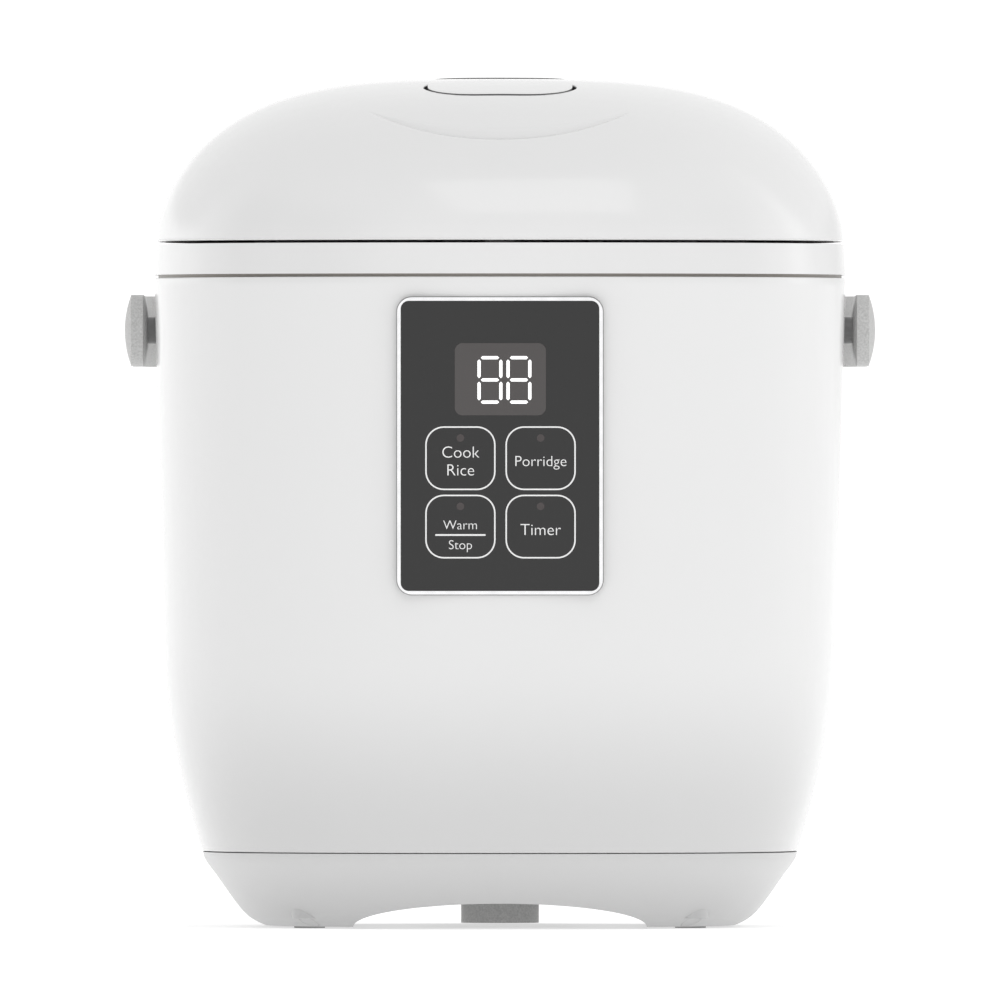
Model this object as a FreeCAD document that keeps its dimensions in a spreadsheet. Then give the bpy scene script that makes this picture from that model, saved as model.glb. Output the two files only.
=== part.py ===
import FreeCAD, Part
import math
import os
import re

import Sketcher
from FreeCAD import Placement, Rotation, Vector

# Rice cooker. Millimetres, +Z up, the control panel faces -Y and the feet stand on Z = 0.

# ---------------------------------------------------------------- driving sizes
SIZES = {
    # overall form
    "body_width": 203.4,
    "body_depth": 226,
    "foot_proud": 0.5,
    "base_height": 21.6,
    "seam_gap": 0.3,
    "shell_height": 168.3,
    "trim_height": 0.9,
    "trim_inset": 1.2,
    "rim_height": 9,
    "lid_gap": 0.8,
    "lid_rise": 48.6,
    "lid_inset": 0.65,
    "rim_taper": 0.5,
    "body_taper": 0.0254,
    "belly_height": 56.2,
    "belly_depth": 9.7,
    "base_edge": 2,
    "base_edge_slope": 0.3,
    "base_spread": 13.8,
    "base_round": 3.9,
    # walls and clearances
    "wall": 2.5,
    "fit": 0.15,
    "running": 0.05,
    "lift_off": 0.3,
    # base, feet and screws
    "floor_thick": 2.5,
    "arch_half": 43,
    "arch_rise": 7,
    "lip_rise": 5,
    "flange_bore": 60,
    "flange_thick": 3,
    "flange_rise": 5.6,
    "boss_radius": 5,
    "boss_x": 56,
    "boss_y": 62,
    "foot_radius": 4.55,
    "foot_depth": 2,
    "foot_x": 55.85,
    "foot_y": 40,
    "screw_radius": 1.5,
    "screw_head": 2.8,
    "screw_head_thick": 2,
    "vent_slot": 3,
    "vent_length": 44,
    "vent_pitch": 11,
    # power inlet
    "inlet_half": 11.5,
    "inlet_front": 58,
    "inlet_back": 88,
    "inlet_height": 21.3,
    "socket_width": 16.8,
    "socket_height": 9,
    "socket_depth": 15,
    "socket_level": 11.5,
    "contact_pitch": 8.6,
    "contact_radius": 1.18,
    # inner pot and the casing round it
    "pot_side_room": 22.7,
    "pot_end_room": 34,
    "pot_wall": 1.6,
    "pot_floor": 2,
    "pot_corner": 20,
    "pot_flange": 9,
    "plate_top": 70,
    "plate_thick": 8,
    "plate_margin": 13,
    "plate_bore": 14,
    "plate_leg": 11.2,
    "casing_room": 5.5,
    "casing_sheet": 0.8,
    "casing_bore": 24,
    "ledge_thick": 2.5,
    "ledge_drop": 7.6,
    "ledge_room": 5,
    "rim_bore_room": 11.5,
    "pot_flange_gap": 0.2,
    "element_radius": 48,
    "element_half": 3,
    "band_level": 110,
    "band_height": 30,
    "band_thick": 1.3,
    # sprung temperature sensor under the pot
    "sensor_radius": 12,
    "sensor_cap": 2,
    "sensor_skirt": 13,
    "sensor_stem": 3,
    "sensor_stem_end": 36,
    "bracket_radius": 28,
    "bracket_thick": 2,
    "bracket_sleeve": 9,
    # circuit boards
    "board_length": 96,
    "board_width": 84,
    "board_level": 14,
    "board_thick": 1.6,
    # control panel
    "panel_level": 141.3,
    "panel_tilt": 1.6,
    "bezel_width": 60,
    "bezel_height": 86.7,
    "bezel_corner": 4.3,
    "bezel_proud": 0.9,
    "bezel_seat": 1.9,
    "bezel_ring": 1,
    "panel_proud": 0.5,
    "panel_thick": 1.4,
    "panel_corner": 2.4,
    "seat_depth": 4.1,
    "seat_margin": 4,
    "display_width": 26.6,
    "display_height": 21.1,
    "display_corner": 2.3,
    "display_x": 0.1,
    "display_y": 19.45,
    "display_depth": 8,
    "digit_width": 7.3,
    "digit_height": 13.9,
    "digit_pitch": 8.45,
    "digit_shift": 1.2,
    "digit_stroke": 1.2,
    "key_pitch": 23.4,
    "key_upper": -3.6,
    "key_lower": -23.55,
    "lamp_rise": 5.9,
    "lamp_radius": 1.1,
    # lid hinge and latch
    "hinge_inset": 9.5,
    "hinge_rise": 2.4,
    "hinge_pin": 2,
    "knuckle_radius": 4,
    "knuckle_start": 8,
    "knuckle_end": 20,
    "ear_end": 30,
    "notch_half": 54,
    "notch_depth": 8,
    "notch_length": 16,
    "bracket_sheet": 1.6,
    "pedestal_back": 1.2,
    "latch_half": 4,
    "latch_back": 20.3,
    "latch_rise": 10.6,
    "latch_leg_reach": 7.6,
    "latch_arm": 35,
    "latch_thick": 3,
    "latch_toe": 1.9,
    "keeper_half": 10,
    # lid parts
    "liner_thick": 3,
    "post_radius": 4,
    "post_x": 66,
    "post_y": 66,
    "inner_lid_drop": 3.1,
    "inner_lid_thick": 1,
    "button_half_width": 21.2,
    "button_half_depth": 13.5,
    "button_y": -55.5,
    "button_gap": 0.35,
    "button_thick": 2.5,
    "well_floor": 234,
    "vent_radius": 19.5,
    "vent_gap": 0.3,
    "vent_y": 28,
    "vent_thick": 2.2,
    "vent_floor": 238,
    "valve_radius": 11,
    "valve_wall": 2,
    # carrying handle
    "pivot_y": 17,
    "pivot_level": 175.5,
    "pivot_radius": 3.925,
    "arm_gap": 2,
    "arm_thick": 6.9,
    "arm_inner_dome": 1.5,
    "arm_outer_dome": 1.9,
    "arm_height": 20.9,
    "bar_gap": 12,
    "arm_corner": 30,
}

DERIVED = {
    "half_w": "body_width / 2",
    "half_d": "body_depth / 2",
    "base_top": "foot_proud + base_height",
    "shell_bottom": "base_top + seam_gap",
    "shell_top": "shell_bottom + shell_height",
    "rim_bottom": "shell_top + trim_height",
    "rim_top": "rim_bottom + rim_height",
    "lid_bottom": "rim_top + lid_gap",
    "lid_crown": "lid_bottom + lid_rise + 2",
    "floor_top": "foot_proud + floor_thick",
    "flange_bottom": "shell_bottom + flange_rise",
    "pot_radius": "min(half_w - pot_side_room; half_d - pot_end_room)",
    "ledge_top": "rim_top - ledge_drop",
    "ledge_bottom": "ledge_top - ledge_thick",
    "pot_rim": "ledge_top + pot_flange_gap",
    "rim_bore": "pot_radius + rim_bore_room",
    "casing_radius": "pot_radius + casing_room",
    "casing_outer": "casing_radius + casing_sheet",
    "plate_radius": "pot_radius - plate_margin",
    "plate_bottom": "plate_top - plate_thick",
    "casing_floor": "plate_bottom - plate_leg",
    "bracket_top": "casing_floor - casing_sheet",
    "hinge_y": "half_d - hinge_inset",
    "hinge_z": "rim_top + hinge_rise",
    "notch_floor": "rim_top - notch_depth",
    "bracket_plate": "notch_floor + bracket_sheet",
    "latch_y": "latch_back - half_d",
    "latch_z": "lid_bottom + latch_rise",
    "liner_top": "lid_bottom + liner_thick",
    "inner_lid_top": "lid_bottom - inner_lid_drop",
    "inner_lid_bottom": "inner_lid_top - inner_lid_thick",
    "stem_end": "latch_z + latch_thick + 0.4",
    "arm_inner": "half_w + arm_gap",
    "arm_middle": "arm_inner + arm_thick / 2",
    "bar_y": "half_d + bar_gap + arm_thick / 2",
    "display_back": "0 - panel_back - display_depth",
    "panel_back": "panel_thick - panel_proud",
}

# The plan outline and the domed lid are superellipses with these powers.
PLAN_POWER = 2.7
DOME_SIDE_POWER = 3.45
DOME_RISE_POWER = 1.75
BELLY_POWER = 1.7
BASE_ROUND_POWER = 10
BUTTON_POWER = 2.8
QUARTER_POINTS = 9
DOME_LEVELS = 14
DOME_TIP = 0.12

os.makedirs("parts", exist_ok=True)
doc = FreeCAD.newDocument("rice_cooker")
sheet = doc.addObject("Spreadsheet::Sheet", "Sizes")
NAMES = set(SIZES) | set(DERIVED)


def fill_sheet():
    """Write the driving sizes as plain numbers and the sizes worked out from them as formulas."""
    rows = [(name, str(number)) for name, number in SIZES.items()]
    rows += [(name, "=" + formula) for name, formula in DERIVED.items()]
    for row, (name, text) in enumerate(rows, start=1):
        sheet.set("A%d" % row, name)
        sheet.set("B%d" % row, text)
        sheet.setAlias("B%d" % row, name)
    doc.recompute()


def value(name):
    return float(sheet.get(name))


def linked(text):
    """Turn the size names in an expression into references to the sheet."""
    def refer(word):
        return "Sizes." + word.group() if word.group() in NAMES else word.group()
    return re.sub(r"[a-z_]+", refer, str(text))


def place(piece, x=0, y=0, z=0, turn=None):
    """Put a piece at a position given by expressions; turn is (axis, degrees)."""
    if turn:
        piece.Placement = Placement(Vector(), Rotation(Vector(*turn[0]), turn[1]))
    for axis, text in zip("xyz", (x, y, z)):
        piece.setExpression("Placement.Base." + axis, linked(text))
    return piece


# ---------------------------------------------------------------- solids bound to the sheet
def block(name, size, at):
    """A box of size (x, y, z), centred on at in X and Y and standing on it in Z."""
    piece = doc.addObject("Part::Box", name)
    for prop, text in zip(("Length", "Width", "Height"), size):
        piece.setExpression(prop, linked(text))
    x, y, z = at
    return place(piece, "(%s) - (%s) / 2" % (x, size[0]), "(%s) - (%s) / 2" % (y, size[1]), z)


def span(name, x, y, z):
    """A box between the limits (low, high) on each axis."""
    piece = doc.addObject("Part::Box", name)
    for prop, (low, high) in zip(("Length", "Width", "Height"), (x, y, z)):
        piece.setExpression(prop, linked("(%s) - (%s)" % (high, low)))
    return place(piece, x[0], y[0], z[0])


AXIS_TURN = {"x": ((0, 1, 0), 90), "y": ((1, 0, 0), -90), "z": None}


def rod(name, radius, length, at, axis="z"):
    """A cylinder starting at at and running along +axis."""
    piece = doc.addObject("Part::Cylinder", name)
    piece.setExpression("Radius", linked(radius))
    piece.setExpression("Height", linked(length))
    return place(piece, *at, turn=AXIS_TURN[axis])


def fuse(name, *shapes):
    piece = doc.addObject("Part::MultiFuse", name)
    piece.Shapes = list(shapes)
    piece.Refine = True
    return piece


def common(name, *shapes):
    piece = doc.addObject("Part::MultiCommon", name)
    piece.Shapes = list(shapes)
    return piece


def cut(name, base, *tools):
    piece = doc.addObject("Part::Cut", name)
    piece.Base = base
    piece.Tool = tools[0] if len(tools) == 1 else fuse(name + "_tools", *tools)
    return piece


def tube(name, inner, outer, length, at, axis="z"):
    return cut(name, rod(name + "_outer", outer, length, at, axis),
               rod(name + "_inner", inner, length, at, axis))


def slab(name, width, height, radius, thick, at):
    """A plate in XY with round corners, centred on at and running up in Z."""
    x, y, z = at
    narrow, low = "(%s) - 2 * (%s)" % (width, radius), "(%s) - 2 * (%s)" % (height, radius)
    shapes = [block(name + "_wide", (width, low, thick), at),
              block(name + "_tall", (narrow, height, thick), at)]
    for index, (sx, sy) in enumerate(((1, 1), (-1, 1), (-1, -1), (1, -1))):
        corner = ("(%s) + %d * (%s) / 2" % (x, sx, narrow), "(%s) + %d * (%s) / 2" % (y, sy, low), z)
        shapes.append(rod("%s_corner_%d" % (name, index), radius, thick, corner))
    return fuse(name, *shapes)


def turned(name, points, x=0, y=0, z=0, turn=None, rounds=()):
    """A PartDesign body turned about Z from a closed outline of (radius, height) expressions.

    Each entry of rounds is (radius, height, fillet radius) and rounds the edge at that corner.
    """
    body = doc.addObject("PartDesign::Body", name)
    sketch = body.newObject("Sketcher::SketchObject", name + "_profile")
    plane = next(f for f in body.Origin.OriginFeatures if f.Role == "XZ_Plane")
    sketch.AttachmentSupport = [(plane, "")]
    sketch.MapMode = "FlatFace"
    count = len(points)
    start = [Vector(60 + 40 * math.cos(2 * math.pi * k / count),
                    60 + 40 * math.sin(2 * math.pi * k / count), 0) for k in range(count)]
    for k in range(count):
        sketch.addGeometry(Part.LineSegment(start[k], start[(k + 1) % count]), False)
    for k in range(count):
        sketch.addConstraint(Sketcher.Constraint("Coincident", k, 2, (k + 1) % count, 1))
    for k, (radius, height) in enumerate(points):
        if radius == 0:
            sketch.addConstraint(Sketcher.Constraint("PointOnObject", k, 1, -2))
        else:
            index = sketch.addConstraint(Sketcher.Constraint("DistanceX", -1, 1, k, 1, start[k].x))
            sketch.renameConstraint(index, "radius_%d" % k)
            sketch.setExpression("Constraints.radius_%d" % k, linked(radius))
        index = sketch.addConstraint(Sketcher.Constraint("DistanceY", -1, 1, k, 1, start[k].y))
        sketch.renameConstraint(index, "height_%d" % k)
        sketch.setExpression("Constraints.height_%d" % k, linked(height))
    spin = body.newObject("PartDesign::Revolution", name + "_spin")
    spin.Profile = sketch
    spin.ReferenceAxis = (sketch, ["V_Axis"])
    spin.Angle = 360
    body.Tip = spin
    for number, (radius, height, fillet) in enumerate(rounds):
        doc.recompute()
        last = body.Tip
        edges = [
            "Edge%d" % (i + 1) for i, edge in enumerate(last.Shape.Edges)
            if hasattr(edge.Curve, "Radius") and abs(edge.Curve.Radius - radius) < 0.01
            and abs(edge.Curve.Center.z - height) < 0.01]
        rounded = body.newObject("PartDesign::Fillet", "%s_round_%d" % (name, number))
        rounded.Base = (last, edges)
        rounded.setExpression("Radius", linked(fillet))
        body.Tip = rounded
    return place(body, x, y, z, turn)


# ---------------------------------------------------------------- free-form shells
def outline(half_width, half_depth, z, middle_y=0.0, power=PLAN_POWER):
    """A closed superellipse at height z, as four smooth quarter curves."""
    def point(angle):
        c, s = math.cos(angle), math.sin(angle)
        reach = (abs(c / half_width) ** power + abs(s / half_depth) ** power) ** (-1 / power)
        return Vector(reach * c, middle_y + reach * s, z)

    quarters = []
    for quarter in range(4):
        start = quarter * math.pi / 2
        points = [point(start + math.pi / 2 * k / QUARTER_POINTS) for k in range(QUARTER_POINTS + 1)]
        along = Vector(-math.sin(start), math.cos(start), 0)
        curve = Part.BSplineCurve()
        curve.interpolate(points, InitialTangent=along,
                          FinalTangent=Vector(-math.cos(start), -math.sin(start), 0))
        quarters.append(curve.toShape())
    return Part.Wire(quarters)


def loft(name, sections):
    piece = doc.addObject("Part::Feature", name)
    piece.Shape = Part.makeLoft([outline(*section) for section in sections], True, False)
    return piece


def body_half(z):
    """Half width of the body shell at height z: a slight taper, then the belly turns in."""
    belly_start = value("shell_bottom") + value("belly_height")
    low = max(0.0, belly_start - z) / value("belly_height")
    taper = value("body_taper") * (value("shell_top") - z)
    return value("half_w") - taper - value("belly_depth") * low ** BELLY_POWER


def base_half(z):
    """Half width of the base at height z."""
    edge = value("base_top") - value("base_edge")
    top = body_half(value("shell_bottom")) - value("seam_gap")
    if z >= edge:
        return top - value("base_edge_slope") * (value("base_top") - z)
    u = (edge - z) / (edge - value("foot_proud"))
    spread = value("base_spread") * u + value("base_round") * u ** BASE_ROUND_POWER
    return top - value("base_edge_slope") * value("base_edge") - spread


def side_form(name, half_at, levels, inset=0.0):
    """A solid whose half width follows half_at, inset all round."""
    ratio = value("half_d") / value("half_w")
    return loft(name, [(half_at(z) - inset, half_at(z) * ratio - inset, z) for z in levels])


def dome_form(name, inset=0.0):
    """The lid's domed outline, closed by a flat base at lid_bottom."""
    half_width = value("half_w") - value("lid_inset") - inset
    half_depth = (value("half_w") - value("lid_inset")) * value("half_d") / value("half_w") - inset
    rise = value("lid_rise") - inset
    top = (1 - DOME_TIP ** DOME_SIDE_POWER) ** (1 / DOME_RISE_POWER)
    sections = []
    for k in range(DOME_LEVELS + 1):
        level = top * math.sin(math.pi / 2 * k / DOME_LEVELS)
        share = (1 - level ** DOME_RISE_POWER) ** (1 / DOME_SIDE_POWER)
        sections.append((half_width * share, half_depth * share, value("lid_bottom") + rise * level))
    return loft(name, sections)


def coil(name, radius, wire, pitch, height, at, turn=None):
    """A round-wire coil spring whose wire starts its rise at at, along Z unless turned."""
    piece = doc.addObject("Part::Feature", name)
    centre_line = Part.makeHelix(pitch, height - wire, radius)
    section = Part.Wire([Part.makeCircle(wire / 2, Vector(radius, 0, 0), Vector(0, 1, 0))])
    piece.Shape = Part.Wire(centre_line.Edges).makePipeShell([section], True, True)
    return place(piece, *at, turn=turn)


fill_sheet()
nodes = {}


def node(name, piece):
    piece.Label = name
    nodes[name] = piece
    return piece


# ---------------------------------------------------------------- body shell
def levels(low, high, count):
    return [low + (high - low) * k / (count - 1) for k in range(count)]


# The belly needs close levels, the straight wall above it only a few.
belly_top = value("shell_bottom") + value("belly_height")
SHELL_LEVELS = levels(value("shell_bottom"), belly_top, 8) + levels(belly_top + 20, value("shell_top"), 4)
INNER_LEVELS = [value("shell_bottom") - 2] + SHELL_LEVELS[1:-1] + [value("shell_top") + 1]
shell_outer = side_form("shell_outer", body_half, SHELL_LEVELS)
shell_inner = side_form("shell_inner", body_half, INNER_LEVELS, value("wall"))
shell_wall = cut("shell_wall", shell_outer, shell_inner)

PANEL_TURN = ((1, 0, 0), 90 + value("panel_tilt"))
# The taper moves the front of the body back by this much below shell_top.
PANEL_AT = (0, "0 - (half_w - body_taper * (shell_top - panel_level)) * half_d / half_w", "panel_level")


def on_panel(piece):
    """Carry a piece built flat, with its front towards +Z, onto the front of the body."""
    return place(piece, *PANEL_AT, turn=PANEL_TURN)


seat_width = "bezel_width + 2 * seat_margin"
seat_height = "bezel_height + 2 * seat_margin"
panel_seat = on_panel(slab("panel_seat", seat_width, seat_height, "bezel_corner", "seat_depth",
                           (0, 0, "0 - bezel_seat - seat_depth")))
panel_seat_in = common("panel_seat_in", panel_seat, side_form("seat_limit", body_half, INNER_LEVELS, 1.0))
panel_recess = on_panel(slab("panel_recess", "bezel_width + 2 * fit", "bezel_height + 2 * fit",
                             "bezel_corner + fit", 10, (0, 0, "0 - bezel_seat")))
panel_window = on_panel(slab("panel_window", "bezel_width - 8", "bezel_height - 8", "bezel_corner", 24,
                             (0, 0, -16)))
standoffs = on_panel(fuse("panel_standoffs", *[
    rod("standoff_%d_%d" % (sx, sy), 2, "display_depth - bezel_seat - seat_depth + panel_back",
        ("%d * (bezel_width / 2 - 1.5)" % sx, "%d * (bezel_height / 2 - 1.5)" % sy, "display_back"))
    for sx in (-1, 1) for sy in (-1, 1)]))

pivot_bosses = common("pivot_bosses", fuse("pivot_boss_pair", *[
    rod("pivot_boss_%s" % side, 10, 8, (start, "pivot_y", "pivot_level"), "x")
    for side, start in (("right", "half_w - 9.7"), ("left", "1.7 - half_w"))]),
    side_form("boss_limit", body_half, INNER_LEVELS, 1.0))
pivot_bore = rod("pivot_bore", "pivot_radius + running", "body_width + 4",
                 ("0 - half_w - 2", "pivot_y", "pivot_level"), "x")

flange_low, flange_high = value("flange_bottom"), value("flange_bottom") + value("flange_thick")
shell_flange = cut("shell_flange", side_form("flange_form", body_half, [flange_low, flange_high], 1.0),
                   rod("flange_hole", "flange_bore", 20, (0, 0, "flange_bottom - 5")))
BOSSES = [(sx, sy) for sx in (-1, 1) for sy in (-1, 1)]


def screw_holes(name, radius, low, length):
    return [rod("%s_%d_%d" % (name, sx, sy), radius, length,
                ("%d * boss_x" % sx, "%d * boss_y" % sy, low)) for sx, sy in BOSSES]


node("body_shell", cut(
    "body_shell",
    fuse("shell_whole", shell_wall, panel_seat_in, standoffs, pivot_bosses, shell_flange),
    panel_recess, panel_window, pivot_bore,
    *screw_holes("shell_screw_hole", "screw_radius + 0.1", "flange_bottom - 1", 6)))

# ---------------------------------------------------------------- trim ring and upper rim
trim_levels = [value("shell_top"), value("rim_bottom")]
trim_inner_levels = [value("shell_top") - 1, value("rim_bottom") + 1]
node("trim_ring", cut(
    "trim_ring", side_form("trim_outer", body_half, trim_levels, value("trim_inset")),
    side_form("trim_inner", body_half, trim_inner_levels, value("wall") + 1)))


def rim_half(z):
    return value("half_w") - value("rim_taper") * (z - value("rim_bottom")) / value("rim_height")


rim_outer = side_form("rim_outer", rim_half, [value("rim_bottom"), value("rim_top")])
rim_limit = side_form("rim_limit", rim_half, [value("rim_bottom"), value("rim_top")])
rim_hollow = side_form("rim_hollow", rim_half, [value("rim_bottom") - 1, value("rim_top") - value("wall")],
                       value("wall"))
rim_well = tube("rim_well", "rim_bore", "rim_bore + wall", "rim_top - ledge_bottom", (0, 0, "ledge_bottom"))
rim_ledge = tube("rim_ledge", "pot_radius + ledge_room", "rim_bore + 1", "ledge_thick",
                 (0, 0, "ledge_bottom"))
notch_walls = common("notch_walls", rim_limit, span(
    "notch_block", ("0 - notch_half - wall", "notch_half + wall"),
    ("half_d - notch_length - wall", "half_d + 5"), ("rim_bottom", "rim_top")))
notch = span("hinge_notch", ("0 - notch_half", "notch_half"), ("half_d - notch_length", "half_d + 5"),
             ("notch_floor", "rim_top + 1"))
latch_slot = span("latch_slot", ("0 - latch_half - 3", "latch_half + 3"),
                  ("latch_y - 12", "latch_y - 3.3"), ("rim_top - 2 * wall", "rim_top + 1"))
node("upper_rim", cut(
    "upper_rim",
    fuse("rim_whole",
         cut("rim_ring", rim_outer, rim_hollow, rod("rim_hole", "rim_bore", 30, (0, 0, "rim_bottom - 9"))),
         rim_well, rim_ledge, notch_walls),
    notch, latch_slot))

node("latch_keeper", span("latch_keeper", ("0 - keeper_half", "keeper_half"),
                          ("latch_y - 3.3", "latch_y - 0.8"), ("rim_top - wall - 2.2", "rim_top - wall")))

# ---------------------------------------------------------------- base, feet, screws
BASE_LEVELS = levels(value("foot_proud"), 5, 6) + levels(8, value("base_top") - value("base_edge"), 4)
BASE_LEVELS = BASE_LEVELS + [value("base_top")]
CAVITY_LEVELS = [value("floor_top")] + [z for z in BASE_LEVELS[1:-1] if z > value("floor_top") + 1]
CAVITY_LEVELS = CAVITY_LEVELS + [value("base_top") + 1]


def arch(name, grow):
    """An elliptical bar along Y: the channel between the two skids of the base."""
    ellipse = doc.addObject("Part::Ellipse", name + "_outline")
    ellipse.setExpression("MajorRadius", linked("arch_half + %s" % grow))
    ellipse.setExpression("MinorRadius", linked("arch_rise + %s" % grow))
    place(ellipse, 0, "0 - half_d - 5", "foot_proud", turn=((1, 0, 0), 90))
    bar = doc.addObject("Part::Extrusion", name)
    bar.Base = ellipse
    bar.DirMode = "Custom"
    bar.Dir = Vector(0, 1, 0)
    bar.setExpression("LengthFwd", linked("body_depth + 10"))
    bar.Solid = True
    return bar


base_cavity = cut("base_cavity", side_form("base_inner", base_half, CAVITY_LEVELS, value("wall")),
                  arch("arch_cover", "wall"))
base_outer = side_form("base_outer", base_half, BASE_LEVELS)
lip_levels = levels(value("base_top") - 5, value("base_top") + value("lip_rise"), 5)
lip_inset = value("wall") + value("fit")
base_lip = cut("base_lip", side_form("lip_outer", body_half, lip_levels, lip_inset),
               side_form("lip_inner", body_half,
                         [lip_levels[0] - 1] + lip_levels[1:-1] + [lip_levels[-1] + 1],
                         lip_inset + 2))
bosses = [rod("base_boss_%d_%d" % (sx, sy), "boss_radius", "flange_bottom - floor_top",
              ("%d * boss_x" % sx, "%d * boss_y" % sy, "floor_top")) for sx, sy in BOSSES]
board_posts = [rod("board_post_%d_%d" % (sx, sy), 3, "board_level - floor_top",
                   ("%d * (board_length / 2 - 5)" % sx, "%d * (board_width / 2 - 5)" % sy, "floor_top"))
               for sx, sy in BOSSES]
inlet_posts = [rod("inlet_post_%d_%d" % (sx, y), 2.4, "foot_proud + inlet_height - 2 - floor_top",
                   ("%d * (inlet_half + 3.5)" % sx, y, "floor_top")) for sx in (-1, 1) for y in (66, 80)]


def inlet_outline(name, grow, low, high, back):
    """Plan of the inlet: a block with a round nose towards the front."""
    return [span(name + "_block", ("0 - inlet_half - %s" % grow, "inlet_half + %s" % grow),
                 ("inlet_front", back), (low, high)),
            rod(name + "_nose", "inlet_half + %s" % grow, "(%s) - (%s)" % (high, low),
                (0, "inlet_front", low))]


base_tools = [arch("arch_channel", "0")]
base_tools += inlet_outline("inlet_hole", "fit", -1, "base_top + 1", "half_d")
base_tools += [rod("foot_hole_%d_%d" % (sx, sy), "foot_radius + fit", "foot_depth + 1",
                   ("%d * foot_x" % sx, "%d * foot_y" % sy, "foot_proud - 1")) for sx, sy in BOSSES]
base_tools += screw_holes("base_screw_hole", "screw_radius + 0.1", -1, 40)
base_tools += screw_holes("base_head_hole", "screw_head + 0.3", -1, "screw_head_thick + 5")
base_tools += [block("vent_%d" % k, ("vent_length", "vent_slot", 20), (0, "%d * vent_pitch" % (k - 3), -1))
               for k in range(6)]
base_whole = fuse("base_whole", cut("base_tray", base_outer, base_cavity), base_lip,
                  *bosses, *board_posts, *inlet_posts)
node("base_housing", cut("base_housing", base_whole, *base_tools))

node("feet", fuse("feet", *[
    rod("foot_%d_%d" % (sx, sy), "foot_radius", "foot_proud + foot_depth",
        ("%d * foot_x" % sx, "%d * foot_y" % sy, 0)) for sx, sy in BOSSES]))
head_top = "4 + screw_head_thick"
node("base_screws", fuse("base_screws", *[
    fuse("base_screw_%d_%d" % (sx, sy),
         rod("screw_shank_%d_%d" % (sx, sy), "screw_radius", "flange_bottom + 2 - (%s)" % head_top,
             ("%d * boss_x" % sx, "%d * boss_y" % sy, head_top)),
         rod("screw_head_%d_%d" % (sx, sy), "screw_head", "screw_head_thick",
             ("%d * boss_x" % sx, "%d * boss_y" % sy, 4)))
    for sx, sy in BOSSES]))

# ---------------------------------------------------------------- power inlet
inlet_top = "foot_proud + inlet_height"
socket = place(slab("socket", "socket_width", "socket_height", "socket_height / 2 - 1", "socket_depth + 2",
                    (0, 0, 0)),
               0, "inlet_back + 2", "socket_level", turn=((1, 0, 0), 90))
contact_at = [("%d * contact_pitch / 2" % sx, "inlet_back - socket_depth - 7",
               "socket_level") for sx in (-1, 1)]
inlet_plate = span("inlet_plate", ("0 - inlet_half - 6.5", "inlet_half + 6.5"), (62, 84),
                   ("%s - 2" % inlet_top, inlet_top))
node("power_inlet", cut(
    "power_inlet",
    fuse("inlet_whole", *inlet_outline("inlet", "0", "foot_proud", inlet_top, "inlet_back"), inlet_plate),
    socket, *[rod("contact_hole_%d" % k, "contact_radius + 0.1", 20, at, "y") for k,
              at in enumerate(contact_at)]))
node("inlet_contacts", fuse("inlet_contacts", *[
    fuse("contact_%d" % k, rod("contact_pin_%d" % k, "contact_radius", "socket_depth + 3", at, "y"),
         rod("contact_collar_%d" % k, "contact_radius + 0.8", 1,
             (at[0], "inlet_back - socket_depth", "socket_level"), "y"))
    for k, at in enumerate(contact_at)]))

# ---------------------------------------------------------------- boards
board_top = "board_level + board_thick"
node("power_board", block("power_board", ("board_length", "board_width", "board_thick"),
                          (0, 0, "board_level")))
node("power_parts", fuse(
    "power_parts",
    block("transformer", (32, 28, 22), (-24, 16, board_top)),
    block("relay", (20, 15, 15), (26, 22, board_top)),
    block("plug_block", (24, 9, 11), (24, -30, board_top)),
    rod("capacitor", 6, 18, (-30, -24, board_top)),
    rod("small_capacitor", 4, 12, (-14, -26, board_top))))

# ---------------------------------------------------------------- casing, heater, pot
flange_outer = "pot_radius + 13"
casing_turned = turned("casing_turned", [
    ("casing_bore", "casing_floor - casing_sheet"), ("casing_outer", "casing_floor - casing_sheet"),
    ("casing_outer", "ledge_bottom - casing_sheet"), (flange_outer, "ledge_bottom - casing_sheet"),
    (flange_outer, "ledge_bottom"), ("casing_radius", "ledge_bottom"),
    ("casing_radius", "casing_floor"), ("casing_bore", "casing_floor")])
terminal_at = [("%d * 10" % sx, "0 - element_radius") for sx in (-1, 1)]
node("inner_casing", cut("inner_casing", casing_turned, *[
    rod("terminal_hole_%d" % k, 4.5, 10, (x, y, "casing_floor - 5")) for k,
    (x, y) in enumerate(terminal_at)]))

leg_spots = [(math.cos(a), math.sin(a)) for a in (math.radians(90), math.radians(210), math.radians(330))]
legs = [rod("plate_leg_%d" % k, 5, "plate_leg + 1",
            ("%.5f * (plate_radius - 7)" % c, "%.5f * (plate_radius - 7)" % s, "casing_floor"))
        for k, (c, s) in enumerate(leg_spots)]
plate_disc = turned("plate_disc", [
    ("plate_bore", "plate_bottom"), ("plate_radius", "plate_bottom"), ("plate_radius", "plate_top - 3"),
    ("plate_radius - 3", "plate_top"), ("plate_bore", "plate_top")])
node("heating_plate", fuse("heating_plate", plate_disc, *legs))
element_ring = turned("element_ring", [
    ("element_radius - element_half", "plate_bottom - 6"),
    ("element_radius + element_half", "plate_bottom - 6"),
    ("element_radius + element_half", "plate_bottom"), ("element_radius - element_half", "plate_bottom")])
node("heating_element", fuse("heating_element", element_ring, *[
    rod("terminal_%d" % k, 2.4, 16, (x, y, "plate_bottom - 19")) for k, (x, y) in enumerate(terminal_at)]))
node("plate_screws", fuse("plate_screws", *[
    rod("plate_screw_%d" % k, 3.2, 2,
        ("%.5f * (plate_radius - 7)" % c, "%.5f * (plate_radius - 7)" % s,
         "casing_floor - casing_sheet - 2"))
    for k, (c, s) in enumerate(leg_spots)]))
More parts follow.
